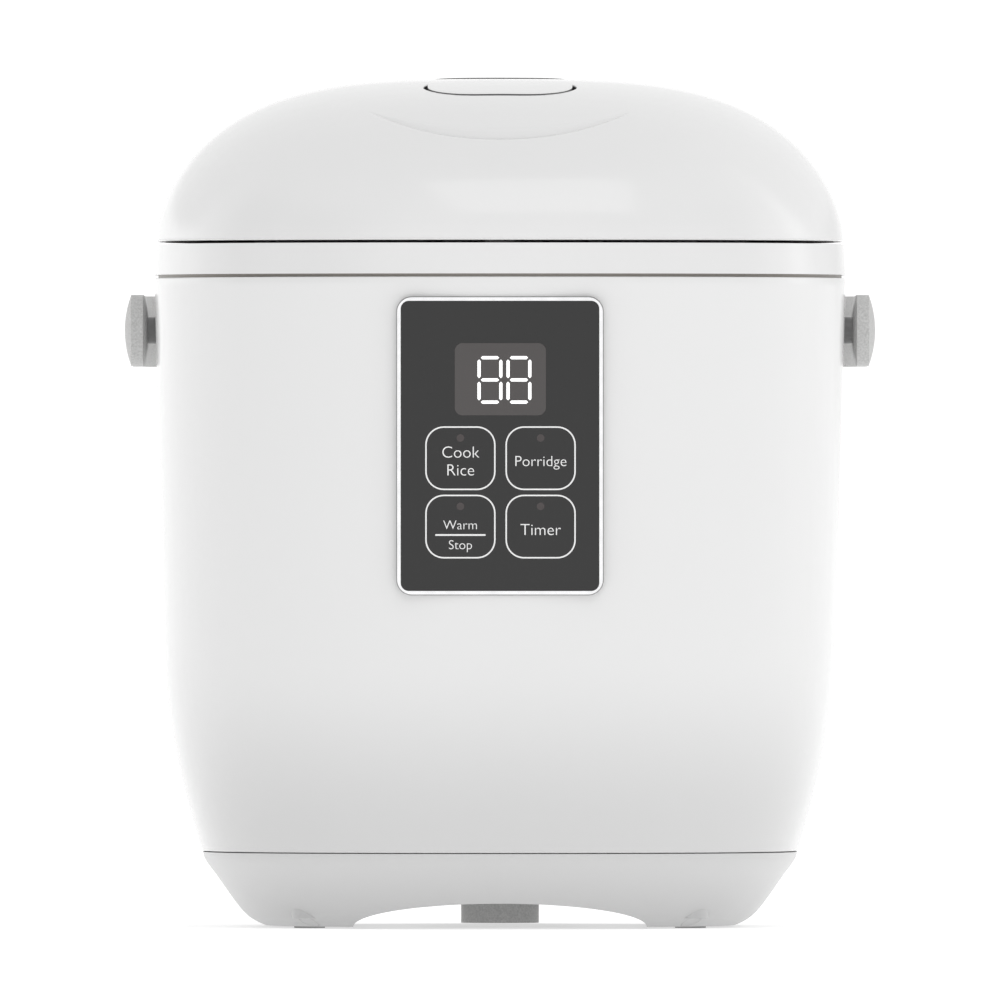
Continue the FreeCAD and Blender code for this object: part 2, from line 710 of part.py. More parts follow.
band = tube("band_ring", "casing_outer + 0.05", "casing_outer + band_thick", "band_height",
            (0, 0, "band_level"))
node("warming_band", fuse("warming_band", cut("band_open", band, span(
    "band_slot", (-5, 5), ("casing_outer - 5", "casing_outer + 5"),
    ("band_level - 1", "band_level + band_height + 1"))),
    span("band_lug_right", (5, 7), ("casing_outer + 0.3", "casing_outer + 7"),
         ("band_level + 8", "band_level + 22")),
    span("band_lug_left", (-7, -5), ("casing_outer + 0.3", "casing_outer + 7"),
         ("band_level + 8", "band_level + 22"))))

pot_outer_top = "pot_rim + pot_wall"
node("inner_pot", turned("inner_pot", [
    (0, "plate_top"), ("pot_radius", "plate_top"), ("pot_radius", "pot_rim"),
    ("pot_radius + pot_flange", "pot_rim"), ("pot_radius + pot_flange", pot_outer_top),
    ("pot_radius - pot_wall", pot_outer_top), ("pot_radius - pot_wall", "plate_top + pot_floor"),
    (0, "plate_top + pot_floor")],
    rounds=[(value("pot_radius"), value("plate_top"), "pot_corner"),
            (value("pot_radius") - value("pot_wall"), value("plate_top") + value("pot_floor"),
             "pot_corner - pot_wall")]))

# ---------------------------------------------------------------- temperature sensor
sensor_top = "plate_top - lift_off"
node("temp_sensor", turned("temp_sensor", [
    (0, "sensor_stem_end"), ("sensor_stem + 1.5", "sensor_stem_end"),
    ("sensor_stem + 1.5", "sensor_stem_end + 1"),
    ("sensor_stem", "sensor_stem_end + 1"), ("sensor_stem", sensor_top + " - sensor_cap"),
    ("sensor_radius - 1", sensor_top + " - sensor_cap"),
    ("sensor_radius - 1", sensor_top + " - sensor_skirt"),
    ("sensor_radius", sensor_top + " - sensor_skirt"), ("sensor_radius", sensor_top), (0, sensor_top)]))
node("sensor_bracket", turned("sensor_bracket", [
    ("sensor_stem + running", "bracket_top - bracket_sleeve"),
    ("sensor_stem + 3", "bracket_top - bracket_sleeve"),
    ("sensor_stem + 3", "bracket_top - bracket_thick"), ("bracket_radius", "bracket_top - bracket_thick"),
    ("bracket_radius", "bracket_top"), ("sensor_stem + running", "bracket_top")]))
sensor_spring_height = (value("plate_top") - value("lift_off") - value("sensor_cap")) - value("bracket_top")
node("sensor_spring", coil("sensor_spring", 7.5, 0.9, sensor_spring_height / 7, sensor_spring_height - 0.6,
                           (0, 0, "bracket_top + 0.5")))
node("thermal_fuse", fuse(
    "thermal_fuse", rod("fuse_barrel", 3, 22, (-11, "bracket_radius + 12", "bracket_top - 4"), "x"),
    block("fuse_strap", (10, 12, 2), (0, "bracket_radius + 12", "bracket_top - 2"))))

# ---------------------------------------------------------------- control panel
bezel_block = slab("bezel_block", "bezel_width", "bezel_height", "bezel_corner", "bezel_seat + bezel_proud",
                   (0, 0, "0 - bezel_seat"))
opening_w, opening_h = "bezel_width - 2 * bezel_ring", "bezel_height - 2 * bezel_ring"
bezel_pocket = slab("bezel_pocket", opening_w, opening_h, "panel_corner", 5, (0, 0, "0 - panel_back"))
bezel_window = slab("bezel_window", "bezel_width - 10", "bezel_height - 10", "panel_corner", 10, (0, 0, -5))
node("control_bezel", on_panel(cut("control_bezel", bezel_block, bezel_pocket, bezel_window)))
panel_slab = slab("panel_slab", opening_w + " - 0.1", opening_h + " - 0.1", "panel_corner - 0.05",
                  "panel_thick",
                  (0, 0, "0 - panel_back"))
window_at = ("display_x", "display_y", "panel_proud - 0.4")
window_pocket = slab("window_pocket", "display_width + 0.1", "display_height + 0.1",
                     "display_corner + 0.05", 2,
                     window_at)
node("control_panel", on_panel(cut("control_panel", panel_slab, window_pocket)))
node("display_window", on_panel(slab("display_window", "display_width", "display_height", "display_corner",
                                     0.45,
                                     window_at)))


def digit(name, x):
    """One seven-segment digit, seven separate bars."""
    bars = []
    level = "panel_proud + 0.05"
    reach = "digit_width - 2.4 * digit_stroke"
    rise = "digit_height / 2 - 1.7 * digit_stroke"
    for k in (-1, 0, 1):
        bars.append(block("%s_across_%d" % (name, k), (reach, "digit_stroke", 0.15),
                          (x, "display_y + %d * (digit_height - digit_stroke) / 2" % k, level)))
    for sx in (-1, 1):
        for sy in (-1, 1):
            bars.append(block("%s_up_%d_%d" % (name, sx, sy), ("digit_stroke", rise, 0.15), (
                "%s + %d * (digit_width - digit_stroke) / 2" % (x, sx),
                "display_y + %d * (digit_height - digit_stroke) / 4" % sy, level)))
    return bars


digits = digit("tens", "digit_shift - digit_pitch / 2") + digit("units", "digit_shift + digit_pitch / 2")
node("display_digits", on_panel(fuse("display_digits", *digits)))
node("display_module", on_panel(slab("display_module", "display_width - 2", "display_height", 1,
                                     "display_depth",
                                     ("display_x", "display_y", "display_back"))))
node("control_board", on_panel(slab("control_board", "bezel_width + 1", "bezel_height + 1", 2,
                                    "board_thick",
                                    (0, 0, "display_back - board_thick"))))
KEYS = [(sx, row) for sx in (-1, 1) for row in ("key_upper", "key_lower")]
node("indicator_lamps", on_panel(fuse("indicator_lamps", *[
    rod("lamp_%d" % k, "lamp_radius", "display_depth",
        ("%d * key_pitch / 2" % sx, row + " + lamp_rise", "display_back"))
    for k, (sx, row) in enumerate(KEYS)])))
node("touch_contacts", on_panel(fuse("touch_contacts", *[
    tube("touch_contact_%d" % k, 1.5, 3, "display_depth", ("%d * key_pitch / 2" % sx, row, "display_back"))
    for k, (sx, row) in enumerate(KEYS)])))

# ---------------------------------------------------------------- lid hinge
ear_length = "ear_end - knuckle_end - 0.5"


def on_hinge_pair(name, start, length, radius):
    """The same cylinder on the hinge line at both ends of the hinge."""
    return [rod(name + "_right", radius, length, (start, "hinge_y", "hinge_z"), "x"),
            rod(name + "_left", radius, length, ("0 - (%s) - (%s)" % (start, length), "hinge_y", "hinge_z"),
                "x")]


def pedestals():
    start = "knuckle_end + 0.5"
    y = ("hinge_y - knuckle_radius", "hinge_y - pedestal_back")
    z = ("notch_floor", "hinge_z")
    return [span("ear_foot_right", (start, "ear_end"), y, z),
            span("ear_foot_left", ("0 - ear_end", "0 - (%s)" % start), y, z)]


hinge_bore = rod("hinge_bore", "hinge_pin + running", "2 * ear_end + 10",
                 ("0 - ear_end - 5", "hinge_y", "hinge_z"), "x")
bracket_plate = span("hinge_plate", ("0 - ear_end - 6", "ear_end + 6"),
                     ("half_d - notch_length + 0.5", "hinge_y - pedestal_back"),
                     ("notch_floor", "bracket_plate"))
node("hinge_bracket", cut(
    "hinge_bracket",
    fuse("bracket_whole", bracket_plate, *pedestals(),
         *on_hinge_pair("ear", "knuckle_end + 0.5", ear_length, "knuckle_radius")), hinge_bore))
node("hinge_pin", rod("hinge_pin_rod", "hinge_pin", "2 * ear_end + 2",
                      ("0 - ear_end - 1", "hinge_y", "hinge_z"), "x"))
node("hinge_spring", coil("hinge_spring", 2.65, 1, 1.5, 2 * value("knuckle_start") - 3,
                          ("1.5 - knuckle_start", "hinge_y", "hinge_z"), turn=((0, 1, 0), 90)))

# ---------------------------------------------------------------- lid shells
def button_prism(name, grow, low, high):
    """The release button's rounded plan as an upright solid between two heights."""
    half_width, half_depth = value("button_half_width") + grow, value("button_half_depth") + grow
    piece = doc.addObject("Part::Feature", name)
    face = Part.Face(outline(half_width, half_depth, low, value("button_y"), BUTTON_POWER))
    piece.Shape = face.extrude(Vector(0, 0, high - low))
    return piece


WELL_FLOOR = value("well_floor")
CROWN = value("lid_crown")
lid_outer = dome_form("lid_outer")
lid_skin = cut("lid_skin", lid_outer, dome_form("lid_inner", value("wall")))
post_limit = dome_form("post_limit", 1.2)
posts = common("lid_posts", fuse("lid_post_rods", *[
    rod("lid_post_%d_%d" % (sx, sy), "post_radius", "lid_crown - liner_top",
        ("%d * post_x" % sx, "%d * post_y" % sy, "liner_top")) for sx, sy in BOSSES]), post_limit)
button_well = common("button_well", dome_form("button_well_limit", 1.2), cut(
    "button_cup", button_prism("cup_outer", 2.4, WELL_FLOOR, CROWN),
    button_prism("cup_inner", 0.4, WELL_FLOOR + 2, CROWN)))
vent_well = common("vent_well", dome_form("vent_well_limit", 1.2), cut(
    "vent_cup", rod("vent_cup_outer", "vent_radius + 2.4", "lid_crown - vent_floor",
                    (0, "vent_y", "vent_floor")),
    rod("vent_cup_inner", "vent_radius + 0.4", 30, (0, "vent_y", "vent_floor + 2"))))
lid_cover_tools = [
    button_prism("button_hole", value("button_gap"), WELL_FLOOR + 2, CROWN),
    rod("vent_hole", "vent_radius + vent_gap", 30, (0, "vent_y", "vent_floor + 2")),
    rod("vent_throat", "valve_radius - valve_wall", 30, (0, "vent_y", "vent_floor - 10")),
    rod("stem_bore", "3 + running", 10, (0, "button_y", "well_floor - 4"))]
lid_cover_tools += [rod("post_hole_%d_%d" % (sx, sy), "screw_radius + 0.1", 12,
                        ("%d * post_x" % sx, "%d * post_y" % sy, "liner_top - 1")) for sx, sy in BOSSES]
node("lid_cover", cut("lid_cover", fuse("lid_cover_whole", lid_skin, posts, button_well, vent_well),
                      *lid_cover_tools))



def dome_half(z):
    """Half width of the lid at height z."""
    level = (z - value("lid_bottom")) / value("lid_rise")
    return (value("half_w") - value("lid_inset")) * (1 - level ** DOME_RISE_POWER) ** (1 / DOME_SIDE_POWER)


liner_plate = side_form("liner_plate", dome_half, levels(value("lid_bottom"), value("liner_top"), 3),
                        value("wall") + value("fit"))
seat_ring = tube("seat_ring", "pot_radius - 9", "pot_radius - 7", "lid_bottom - inner_lid_top + 1",
                 (0, 0, "inner_lid_top"))
knob_peg = rod("knob_peg", 3, "lid_bottom - inner_lid_bottom + 4", (0, -14, "inner_lid_bottom - 3"))
hinge_clear = span("hinge_clear", ("0 - ear_end - 0.4 - 1", "ear_end + 0.4 + 1"),
                   ("hinge_y - knuckle_radius - 0.5", "half_d + 1"),
                   ("lid_bottom - 1", "liner_top + 1"))
knuckle_length = "knuckle_end - knuckle_start"
knuckle_arms = [span("knuckle_arm_%s" % side, x, ("hinge_y - knuckle_radius - 5", "hinge_y"),
                     ("lid_bottom", "hinge_z + knuckle_radius"))
                for side, x in (("right", ("knuckle_start", "knuckle_end")),
                                ("left", ("0 - knuckle_end", "0 - knuckle_start")))]
latch_ears = [span("latch_ear_%s" % side, x, ("latch_y - 4", "latch_y + 4"),
                   ("liner_top - 1", "latch_z + 4"))
              for side, x in (("right", ("latch_half + 4", "latch_half + 8")),
                              ("left", ("0 - latch_half - 8", "0 - latch_half - 4")))]
liner_tools = [
    hinge_bore,
    rod("latch_pin_bore", "2 + running", 40, (-20, "latch_y", "latch_z"), "x"),
    span("liner_latch_slot", ("0 - latch_half - 2", "latch_half + 2"), ("latch_y - 12", "latch_y - 3.3"),
         ("lid_bottom - 1", "liner_top + 1")),
    rod("liner_steam_hole", "valve_radius + fit", 10, (0, "vent_y", "lid_bottom - 3")),
    rod("liner_sensor_hole", 5.3, 10, (34, -34, "lid_bottom - 3"))]
for sx, sy in BOSSES:
    spot = ("%d * post_x" % sx, "%d * post_y" % sy)
    liner_tools.append(rod("liner_screw_%d_%d" % (sx, sy), "screw_radius + 0.1", 10,
                           spot + ("lid_bottom - 3",)))
    liner_tools.append(rod("liner_head_%d_%d" % (sx, sy), "screw_head + 0.2", "screw_head_thick + 1",
                           spot + ("lid_bottom - 1",)))
node("lid_liner", cut(
    "lid_liner",
    fuse("liner_whole", cut("liner_notched", liner_plate, hinge_clear), seat_ring, knob_peg,
         *knuckle_arms, *on_hinge_pair("knuckle", "knuckle_start", knuckle_length, "knuckle_radius"),
         *latch_ears),
    *liner_tools))
node("lid_screws", fuse("lid_screws", *[
    fuse("lid_screw_%d_%d" % (sx, sy),
         rod("lid_head_%d_%d" % (sx, sy), "screw_head", "screw_head_thick",
             ("%d * post_x" % sx, "%d * post_y" % sy, "lid_bottom")),
         rod("lid_shank_%d_%d" % (sx, sy), "screw_radius", 12,
             ("%d * post_x" % sx, "%d * post_y" % sy, "lid_bottom + screw_head_thick - 0.1")))
    for sx, sy in BOSSES]))

# ---------------------------------------------------------------- inner lid, gasket, steam path
disc_radius = "pot_radius + 1"
node("inner_lid", cut(
    "inner_lid", rod("inner_lid_disc", disc_radius, "inner_lid_thick", (0, 0, "inner_lid_bottom")),
    rod("inner_lid_steam", "valve_radius - valve_wall", 9, (0, "vent_y", "inner_lid_bottom - 4")),
    rod("inner_lid_peg", 3.2, 9, (0, -14, "inner_lid_bottom - 4"))))
node("inner_lid_knob", tube("inner_lid_knob", 3.05, 8, 2.6, (0, -14, "inner_lid_bottom - 2.6")))
gasket_low = "pot_rim + pot_wall + lift_off"
node("lid_gasket", turned("lid_gasket", [
    ("pot_radius - 2", "inner_lid_top"), ("pot_radius - 2", "inner_lid_top + 1"),
    ("pot_radius + 8", "inner_lid_top + 1"), ("pot_radius + 8", gasket_low),
    ("pot_radius + 6", gasket_low), ("pot_radius + 6", "inner_lid_bottom - 1"),
    ("pot_radius - 2", "inner_lid_bottom - 1"), ("pot_radius - 2", "inner_lid_bottom"),
    ("pot_radius + 1.1", "inner_lid_bottom"), ("pot_radius + 1.1", "inner_lid_top")]))
node("steam_valve_body", turned("steam_valve_body", [
    ("valve_radius - valve_wall", "inner_lid_top"), ("valve_radius", "inner_lid_top"),
    ("valve_radius", "vent_floor - 2"), ("valve_radius + 4", "vent_floor - 2"),
    ("valve_radius + 4", "vent_floor"), ("valve_radius - valve_wall", "vent_floor")], 0, "vent_y"))
node("valve_gasket", tube("valve_gasket", "valve_radius + 0.1", "valve_radius + 3.5",
                          "lid_bottom - inner_lid_top",
                          (0, "vent_y", "inner_lid_top")))
node("lid_sensor", fuse("lid_sensor", rod("lid_sensor_tip", 5, "liner_top - inner_lid_top + 2",
                                          (34, -34, "inner_lid_top")),
                        rod("lid_sensor_flange", 8, 2, (34, -34, "liner_top"))))

vent_skin = cut("vent_skin", dome_form("vent_outer"), dome_form("vent_inner", value("vent_thick")))
vent_top = common("vent_top", vent_skin, rod("vent_disc", "vent_radius", 40, (0, "vent_y", "vent_floor")))
vent_skirt = common("vent_skirt", dome_form("vent_skirt_limit", 1.0), tube(
    "vent_skirt_tube", "vent_radius - 4", "vent_radius - 2.4", 30,
    (0, "vent_y", "vent_floor + 2 + lift_off")))
vent_slots = [block("steam_slot_%d" % k, (2.2, 12, 40), ("%d * 6" % (k - 2), "vent_y", "vent_floor"))
              for k in range(5)]
node("steam_vent_cap", cut("steam_vent_cap", fuse("vent_whole", vent_top, vent_skirt), *vent_slots))

# ---------------------------------------------------------------- release button and latch
button_skin = cut("button_skin", dome_form("button_outer"),
                  dome_form("button_inner", value("button_thick")))
button_face = common("button_face", button_skin, button_prism("button_plan", 0, WELL_FLOOR, CROWN))
button_boss = common("button_boss", dome_form("button_boss_limit", 1.0),
                     rod("button_boss_rod", 7, 30, (0, "button_y", "well_floor + 9")))
button_stem = rod("button_stem", 3, "well_floor + 10 - stem_end", (0, "button_y", "stem_end"))
node("release_button", fuse("release_button", button_face, button_boss, button_stem))
node("button_spring", coil("button_spring", 4.8, 0.8, 1.5, 6.9, (0, "button_y", "well_floor + 2.45")))

latch_toe_low = "rim_top - wall - 5.1"
arm_x = ("0 - latch_half", "latch_half")
leg_y = ("latch_y - latch_leg_reach - latch_thick / 2", "latch_y - latch_leg_reach + latch_thick / 2")
toe_end = "latch_y - 3.3 - 0.3"
hook_whole = fuse(
    "hook_whole",
    rod("hook_hub", 4, "2 * latch_half", ("0 - latch_half", "latch_y", "latch_z"), "x"),
    span("hook_arm", arm_x, ("latch_y", "latch_y + latch_arm + 3"), ("latch_z", "latch_z + latch_thick")),
    span("hook_bridge", arm_x, (leg_y[0], "latch_y"), ("latch_z - 3", "latch_z + latch_thick")),
    span("hook_leg", arm_x, leg_y, (latch_toe_low, "latch_z")),
    span("hook_toe", arm_x, (leg_y[0], toe_end), (latch_toe_low, latch_toe_low + " + latch_toe")))
node("latch_hook", cut("latch_hook", hook_whole,
                       rod("hook_bore", "2 + running", 30, (-15, "latch_y", "latch_z"), "x")))
node("latch_pin", rod("latch_pin", 2, "2 * latch_half + 17", ("0 - latch_half - 8.5", "latch_y", "latch_z"),
                      "x"))
node("latch_spring", coil("latch_spring", 2.9, 0.7, 0.9, 3.2, ("latch_half + 0.4", "latch_y", "latch_z"),
                          turn=((0, 1, 0), 90)))

# ---------------------------------------------------------------- carrying handle
def handle_section(middle):
    """The domed strap section in XZ: flat rims with a shallow dome on each face."""
    low, high = -value("arm_thick") / 2, value("arm_thick") / 2
    half = value("arm_height") / 2
    inner, outer = low + value("arm_inner_dome"), high - value("arm_outer_dome")
    corner = [Vector(x, 0, z) + middle for x, z in ((inner, half), (outer, half), (outer, -half),
                                                    (inner, -half))]
    return Part.Wire([
        Part.makeLine(corner[0], corner[1]),
        Part.Arc(corner[1], Vector(high, 0, 0) + middle, corner[2]).toShape(),
        Part.makeLine(corner[2], corner[3]),
        Part.Arc(corner[3], Vector(low, 0, 0) + middle, corner[0]).toShape()])


def handle_path():
    """Back along one side, across behind the body and forward along the other side."""
    x, y, z = value("arm_middle"), value("bar_y"), value("pivot_level")
    start, bend = value("pivot_y"), value("arm_corner")
    lean = bend * math.sqrt(0.5)
    right = [Vector(x, start, z), Vector(x, y - bend, z), Vector(x - bend + lean, y - bend + lean, z),
             Vector(x - bend, y, z)]
    left = [Vector(-point.x, point.y, point.z) for point in reversed(right)]
    return Part.Wire([
        Part.makeLine(right[0], right[1]), Part.Arc(right[1], right[2], right[3]).toShape(),
        Part.makeLine(right[3], left[0]), Part.Arc(left[0], left[1], left[2]).toShape(),
        Part.makeLine(left[2], left[3])])


def handle_end(side):
    """The round end over the pivot: the strap section spun about the pivot axis."""
    middle = Vector(value("arm_middle"), value("pivot_y"), value("pivot_level"))
    upper = Part.makeBox(40, 40, 40, middle - Vector(20, 20, 0))
    face = Part.Face(handle_section(middle)).common(upper).Faces[0]
    disc = face.revolve(middle, Vector(1, 0, 0), 360)
    return disc if side > 0 else disc.mirror(Vector(), Vector(1, 0, 0))


handle_strap = doc.addObject("Part::Feature", "handle_strap")
handle_strap.Shape = handle_path().makePipeShell(
    [handle_section(Vector(value("arm_middle"), value("pivot_y"), value("pivot_level")))], True, False)
handle_ends = []
for handle_side in (1, -1):
    end = doc.addObject("Part::Feature", "handle_end_%d" % handle_side)
    end.Shape = handle_end(handle_side)
    handle_ends.append(end)
pin_reach = "half_w + arm_gap + 4.3"
handle_bores = [rod("handle_bore_right", "pivot_radius + running", 8,
                    (pin_reach + " - 7.8", "pivot_y", "pivot_level"), "x"),
                rod("handle_bore_left", "pivot_radius + running", 8,
                    ("0 - (%s) - 0.2" % pin_reach, "pivot_y", "pivot_level"), "x")]
node("carry_handle", cut("carry_handle", fuse("handle_whole", handle_strap, *handle_ends), *handle_bores))
PIN_ENDS = (("right", "half_w - 11.7", "half_w - 11.7"), ("left", "0 - (%s)" % pin_reach, "9.7 - half_w"))
node("handle_pivots", fuse("handle_pivots", *[
    fuse("pivot_pin_%s" % side,
         rod("pivot_shaft_%s" % side, "pivot_radius", pin_reach + " - half_w + 11.7",
             (start, "pivot_y", "pivot_level"), "x"),
         rod("pivot_head_%s" % side, 8, 2, (head, "pivot_y", "pivot_level"), "x"))
    for side, start, head in PIN_ENDS]))

# ---------------------------------------------------------------- check and export
doc.recompute()
problems = [piece.Name for piece in doc.Objects if "Invalid" in piece.State or "Error" in piece.State]
for name, piece in nodes.items():
    if piece.Shape.isNull() or not piece.Shape.isValid():
        problems.append(name)
if problems:
    raise RuntimeError("these pieces did not build: " + ", ".join(problems))
for name, piece in nodes.items():
    piece.Shape.exportStep("parts/%s.step" % name)
print("%d sub-parts written" % len(nodes))
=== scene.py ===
import math

import bmesh
import bpy
import numpy as np
from mathutils import Matrix, Vector
from mathutils.geometry import delaunay_2d_cdt


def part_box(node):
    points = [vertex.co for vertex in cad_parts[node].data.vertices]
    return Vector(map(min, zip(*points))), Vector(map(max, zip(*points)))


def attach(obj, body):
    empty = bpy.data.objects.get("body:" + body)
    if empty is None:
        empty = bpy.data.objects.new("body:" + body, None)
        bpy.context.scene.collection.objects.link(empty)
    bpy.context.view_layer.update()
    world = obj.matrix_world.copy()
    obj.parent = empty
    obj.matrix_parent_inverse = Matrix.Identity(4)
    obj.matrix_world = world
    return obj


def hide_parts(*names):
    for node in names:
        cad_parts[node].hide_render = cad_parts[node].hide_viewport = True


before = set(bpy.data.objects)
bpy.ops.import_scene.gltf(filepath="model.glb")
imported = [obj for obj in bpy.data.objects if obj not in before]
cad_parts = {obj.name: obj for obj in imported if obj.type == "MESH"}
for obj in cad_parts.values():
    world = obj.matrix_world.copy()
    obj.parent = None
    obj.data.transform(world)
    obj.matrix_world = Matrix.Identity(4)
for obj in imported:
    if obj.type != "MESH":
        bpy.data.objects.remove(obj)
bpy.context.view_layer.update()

MM = 0.001

# ---------------------------------------------------------------- sizes read from the frame
shell_low, shell_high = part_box("body_shell")
lid_low, lid_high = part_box("lid_cover")
base_low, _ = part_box("base_housing")

HALF_W = shell_high.x
HALF_D = shell_high.y
DEPTH_RATIO = HALF_D / HALF_W
SHELL_BOTTOM = shell_low.z
SHELL_TOP = shell_high.z
LID_BOTTOM = lid_low.z
LID_HALF_W = lid_high.x
LID_HALF_D = LID_HALF_W * DEPTH_RATIO
CAP_PROUD = 0.65 * MM    # the vent cap stands this much above the dome
LID_RISE = lid_high.z - LID_BOTTOM - CAP_PROUD

PLAN_POWER = 2.7
DOME_SIDE_POWER = 3.45
DOME_RISE_POWER = 1.75
BODY_TAPER = 0.0254
BELLY_HEIGHT = 56.2 * MM
BELLY_DEPTH = 9.7 * MM
BELLY_POWER = 1.7
WALL = 2.5 * MM
ROUND = 288          # points round a skin
CORNER_STEPS = 4     # steps round a quarter turn of an edge
INNER_STEPS = 12     # steps down the inside of a skin
BODY_STEPS = 90      # steps up the outside of the body
FOOT_EDGE, TOP_EDGE = 0.35 * MM, 0.5 * MM    # rounding of the body skin's lower and upper edge


# ---------------------------------------------------------------- materials
def shader(name, color, roughness, metallic=0.0, coat=0.0, ior=1.5):
    """A new material with its Principled shader and node tree, ready for detail."""
    material = bpy.data.materials.new(name)
    material.use_nodes = True
    tree = material.node_tree
    principled = tree.nodes["Principled BSDF"]
    principled.inputs["Base Color"].default_value = (*color, 1)
    principled.inputs["Roughness"].default_value = roughness
    principled.inputs["Metallic"].default_value = metallic
    principled.inputs["Coat Weight"].default_value = coat
    principled.inputs["Coat Roughness"].default_value = 0.06
    principled.inputs["IOR"].default_value = ior
    return material, tree, principled


def noise(tree, scale, detail=3.0, stretch=(1, 1, 1)):
    """Noise on the object's own coordinates; stretch squeezes it along an axis for a grain."""
    place = tree.nodes.new("ShaderNodeTexCoord")
    mapping = tree.nodes.new("ShaderNodeMapping")
    mapping.inputs["Scale"].default_value = stretch
    texture = tree.nodes.new("ShaderNodeTexNoise")
    texture.inputs["Scale"].default_value = scale
    texture.inputs["Detail"].default_value = detail
    tree.links.new(place.outputs["Object"], mapping.inputs["Vector"])
    tree.links.new(mapping.outputs["Vector"], texture.inputs["Vector"])
    return texture.outputs["Fac"]


def vary(tree, source, low, high, target):
    """Drive a socket between two values from a 0..1 source."""
    span = tree.nodes.new("ShaderNodeMapRange")
    span.inputs["To Min"].default_value = low
    span.inputs["To Max"].default_value = high
    tree.links.new(source, span.inputs["Value"])
    tree.links.new(span.outputs["Result"], target)


def tint(tree, source, dark, light, target):
    """Drive a colour between two tones from a 0..1 source."""
    ramp = tree.nodes.new("ShaderNodeValToRGB")
    ramp.color_ramp.elements[0].position = 0.3
    ramp.color_ramp.elements[1].position = 0.7
    ramp.color_ramp.elements[0].color = (*dark, 1)
    ramp.color_ramp.elements[1].color = (*light, 1)
    tree.links.new(source, ramp.inputs["Fac"])
    tree.links.new(ramp.outputs["Color"], target)


def bump(tree, source, strength, distance, principled):
    node = tree.nodes.new("ShaderNodeBump")
    node.inputs["Strength"].default_value = strength
    node.inputs["Distance"].default_value = distance
    tree.links.new(source, node.inputs["Height"])
    tree.links.new(node.outputs["Normal"], principled.inputs["Normal"])


def grey(level):
    return (level, level, level)


def plastic(name, color, roughness, spread=0.02, grain=900.0, depth=0.02 * MM, coat=0.0, fleck=45.0):
    """Moulded plastic: nearly even colour, a little wear in the gloss and a fine surface grain."""
    material, tree, principled = shader(name, color, roughness, coat=coat)
    cloud = noise(tree, fleck, 4)
    dark = tuple(c * (1 - spread) for c in color)
    light = tuple(min(1, c * (1 + spread)) for c in color)
    tint(tree, cloud, dark, light, principled.inputs["Base Color"])
    vary(tree, cloud, roughness * 0.85, roughness * 1.15, principled.inputs["Roughness"])
    bump(tree, noise(tree, grain, 2), 0.5, depth, principled)
    return material


def metal(name, color, roughness, stretch=(1, 1, 1), scale=700.0, depth=0.01 * MM):
    """Metal with a drawn or cast grain."""
    material, tree, principled = shader(name, color, roughness, metallic=1.0)
    grain = noise(tree, scale, 5, stretch)
    tint(tree, grain, tuple(c * 0.92 for c in color), tuple(min(1, c * 1.05) for c in color),
         principled.inputs["Base Color"])
    vary(tree, grain, roughness * 0.75, roughness * 1.3, principled.inputs["Roughness"])
    bump(tree, grain, 0.4, depth, principled)
    return material


def white_with_painted_shade(name, foot_shade_tone, top_tone, low, high, roughness, coat):
    """White plastic that goes from one tone to another between two heights: painted shade, darker low down."""
    material, tree, principled = shader(name, WHITE_TONE, roughness, coat=coat)
    place = tree.nodes.new("ShaderNodeTexCoord")
    split = tree.nodes.new("ShaderNodeSeparateXYZ")
    rise = tree.nodes.new("ShaderNodeMapRange")
    rise.interpolation_type = "SMOOTHSTEP"
    rise.inputs["From Min"].default_value = low
    rise.inputs["From Max"].default_value = high
    ramp = tree.nodes.new("ShaderNodeValToRGB")
    ramp.color_ramp.elements[0].color = (*foot_shade_tone, 1)
    ramp.color_ramp.elements[1].color = (*top_tone, 1)
    tree.links.new(place.outputs["Object"], split.inputs["Vector"])
    tree.links.new(split.outputs["Z"], rise.inputs["Value"])
    tree.links.new(rise.outputs["Result"], ramp.inputs["Fac"])
    tree.links.new(ramp.outputs["Color"], principled.inputs["Base Color"])
    vary(tree, noise(tree, 45, 4), roughness * 0.85, roughness * 1.15, principled.inputs["Roughness"])
    bump(tree, noise(tree, 260, 2), 0.5, 0.004 * MM, principled)
    return material


WHITE_TONE = grey(0.80)
WHITE = plastic("white_gloss_plastic", WHITE_TONE, 0.17, spread=0.004, grain=260, depth=0.004 * MM,
                coat=0.25)
# The shell's white is painted darker towards its lower part: painted shade on the belly, which tilts towards
# the floor.
SHELL_WHITE_PAINTED_SHADE = white_with_painted_shade("white_shell_plastic_painted_shade", grey(0.80 * 0.80), WHITE_TONE, 28 * MM, 85 * MM, 0.17, 0.25)
# The base's white is painted darker towards the floor as painted shade. Its darker overall tone is partly its
# own moulding and partly painted shade.
BASE_WHITE_PAINTED_SHADE = white_with_painted_shade("white_base_plastic_painted_shade", grey(0.545), grey(0.62), 0, 22 * MM, 0.3, 0.0)
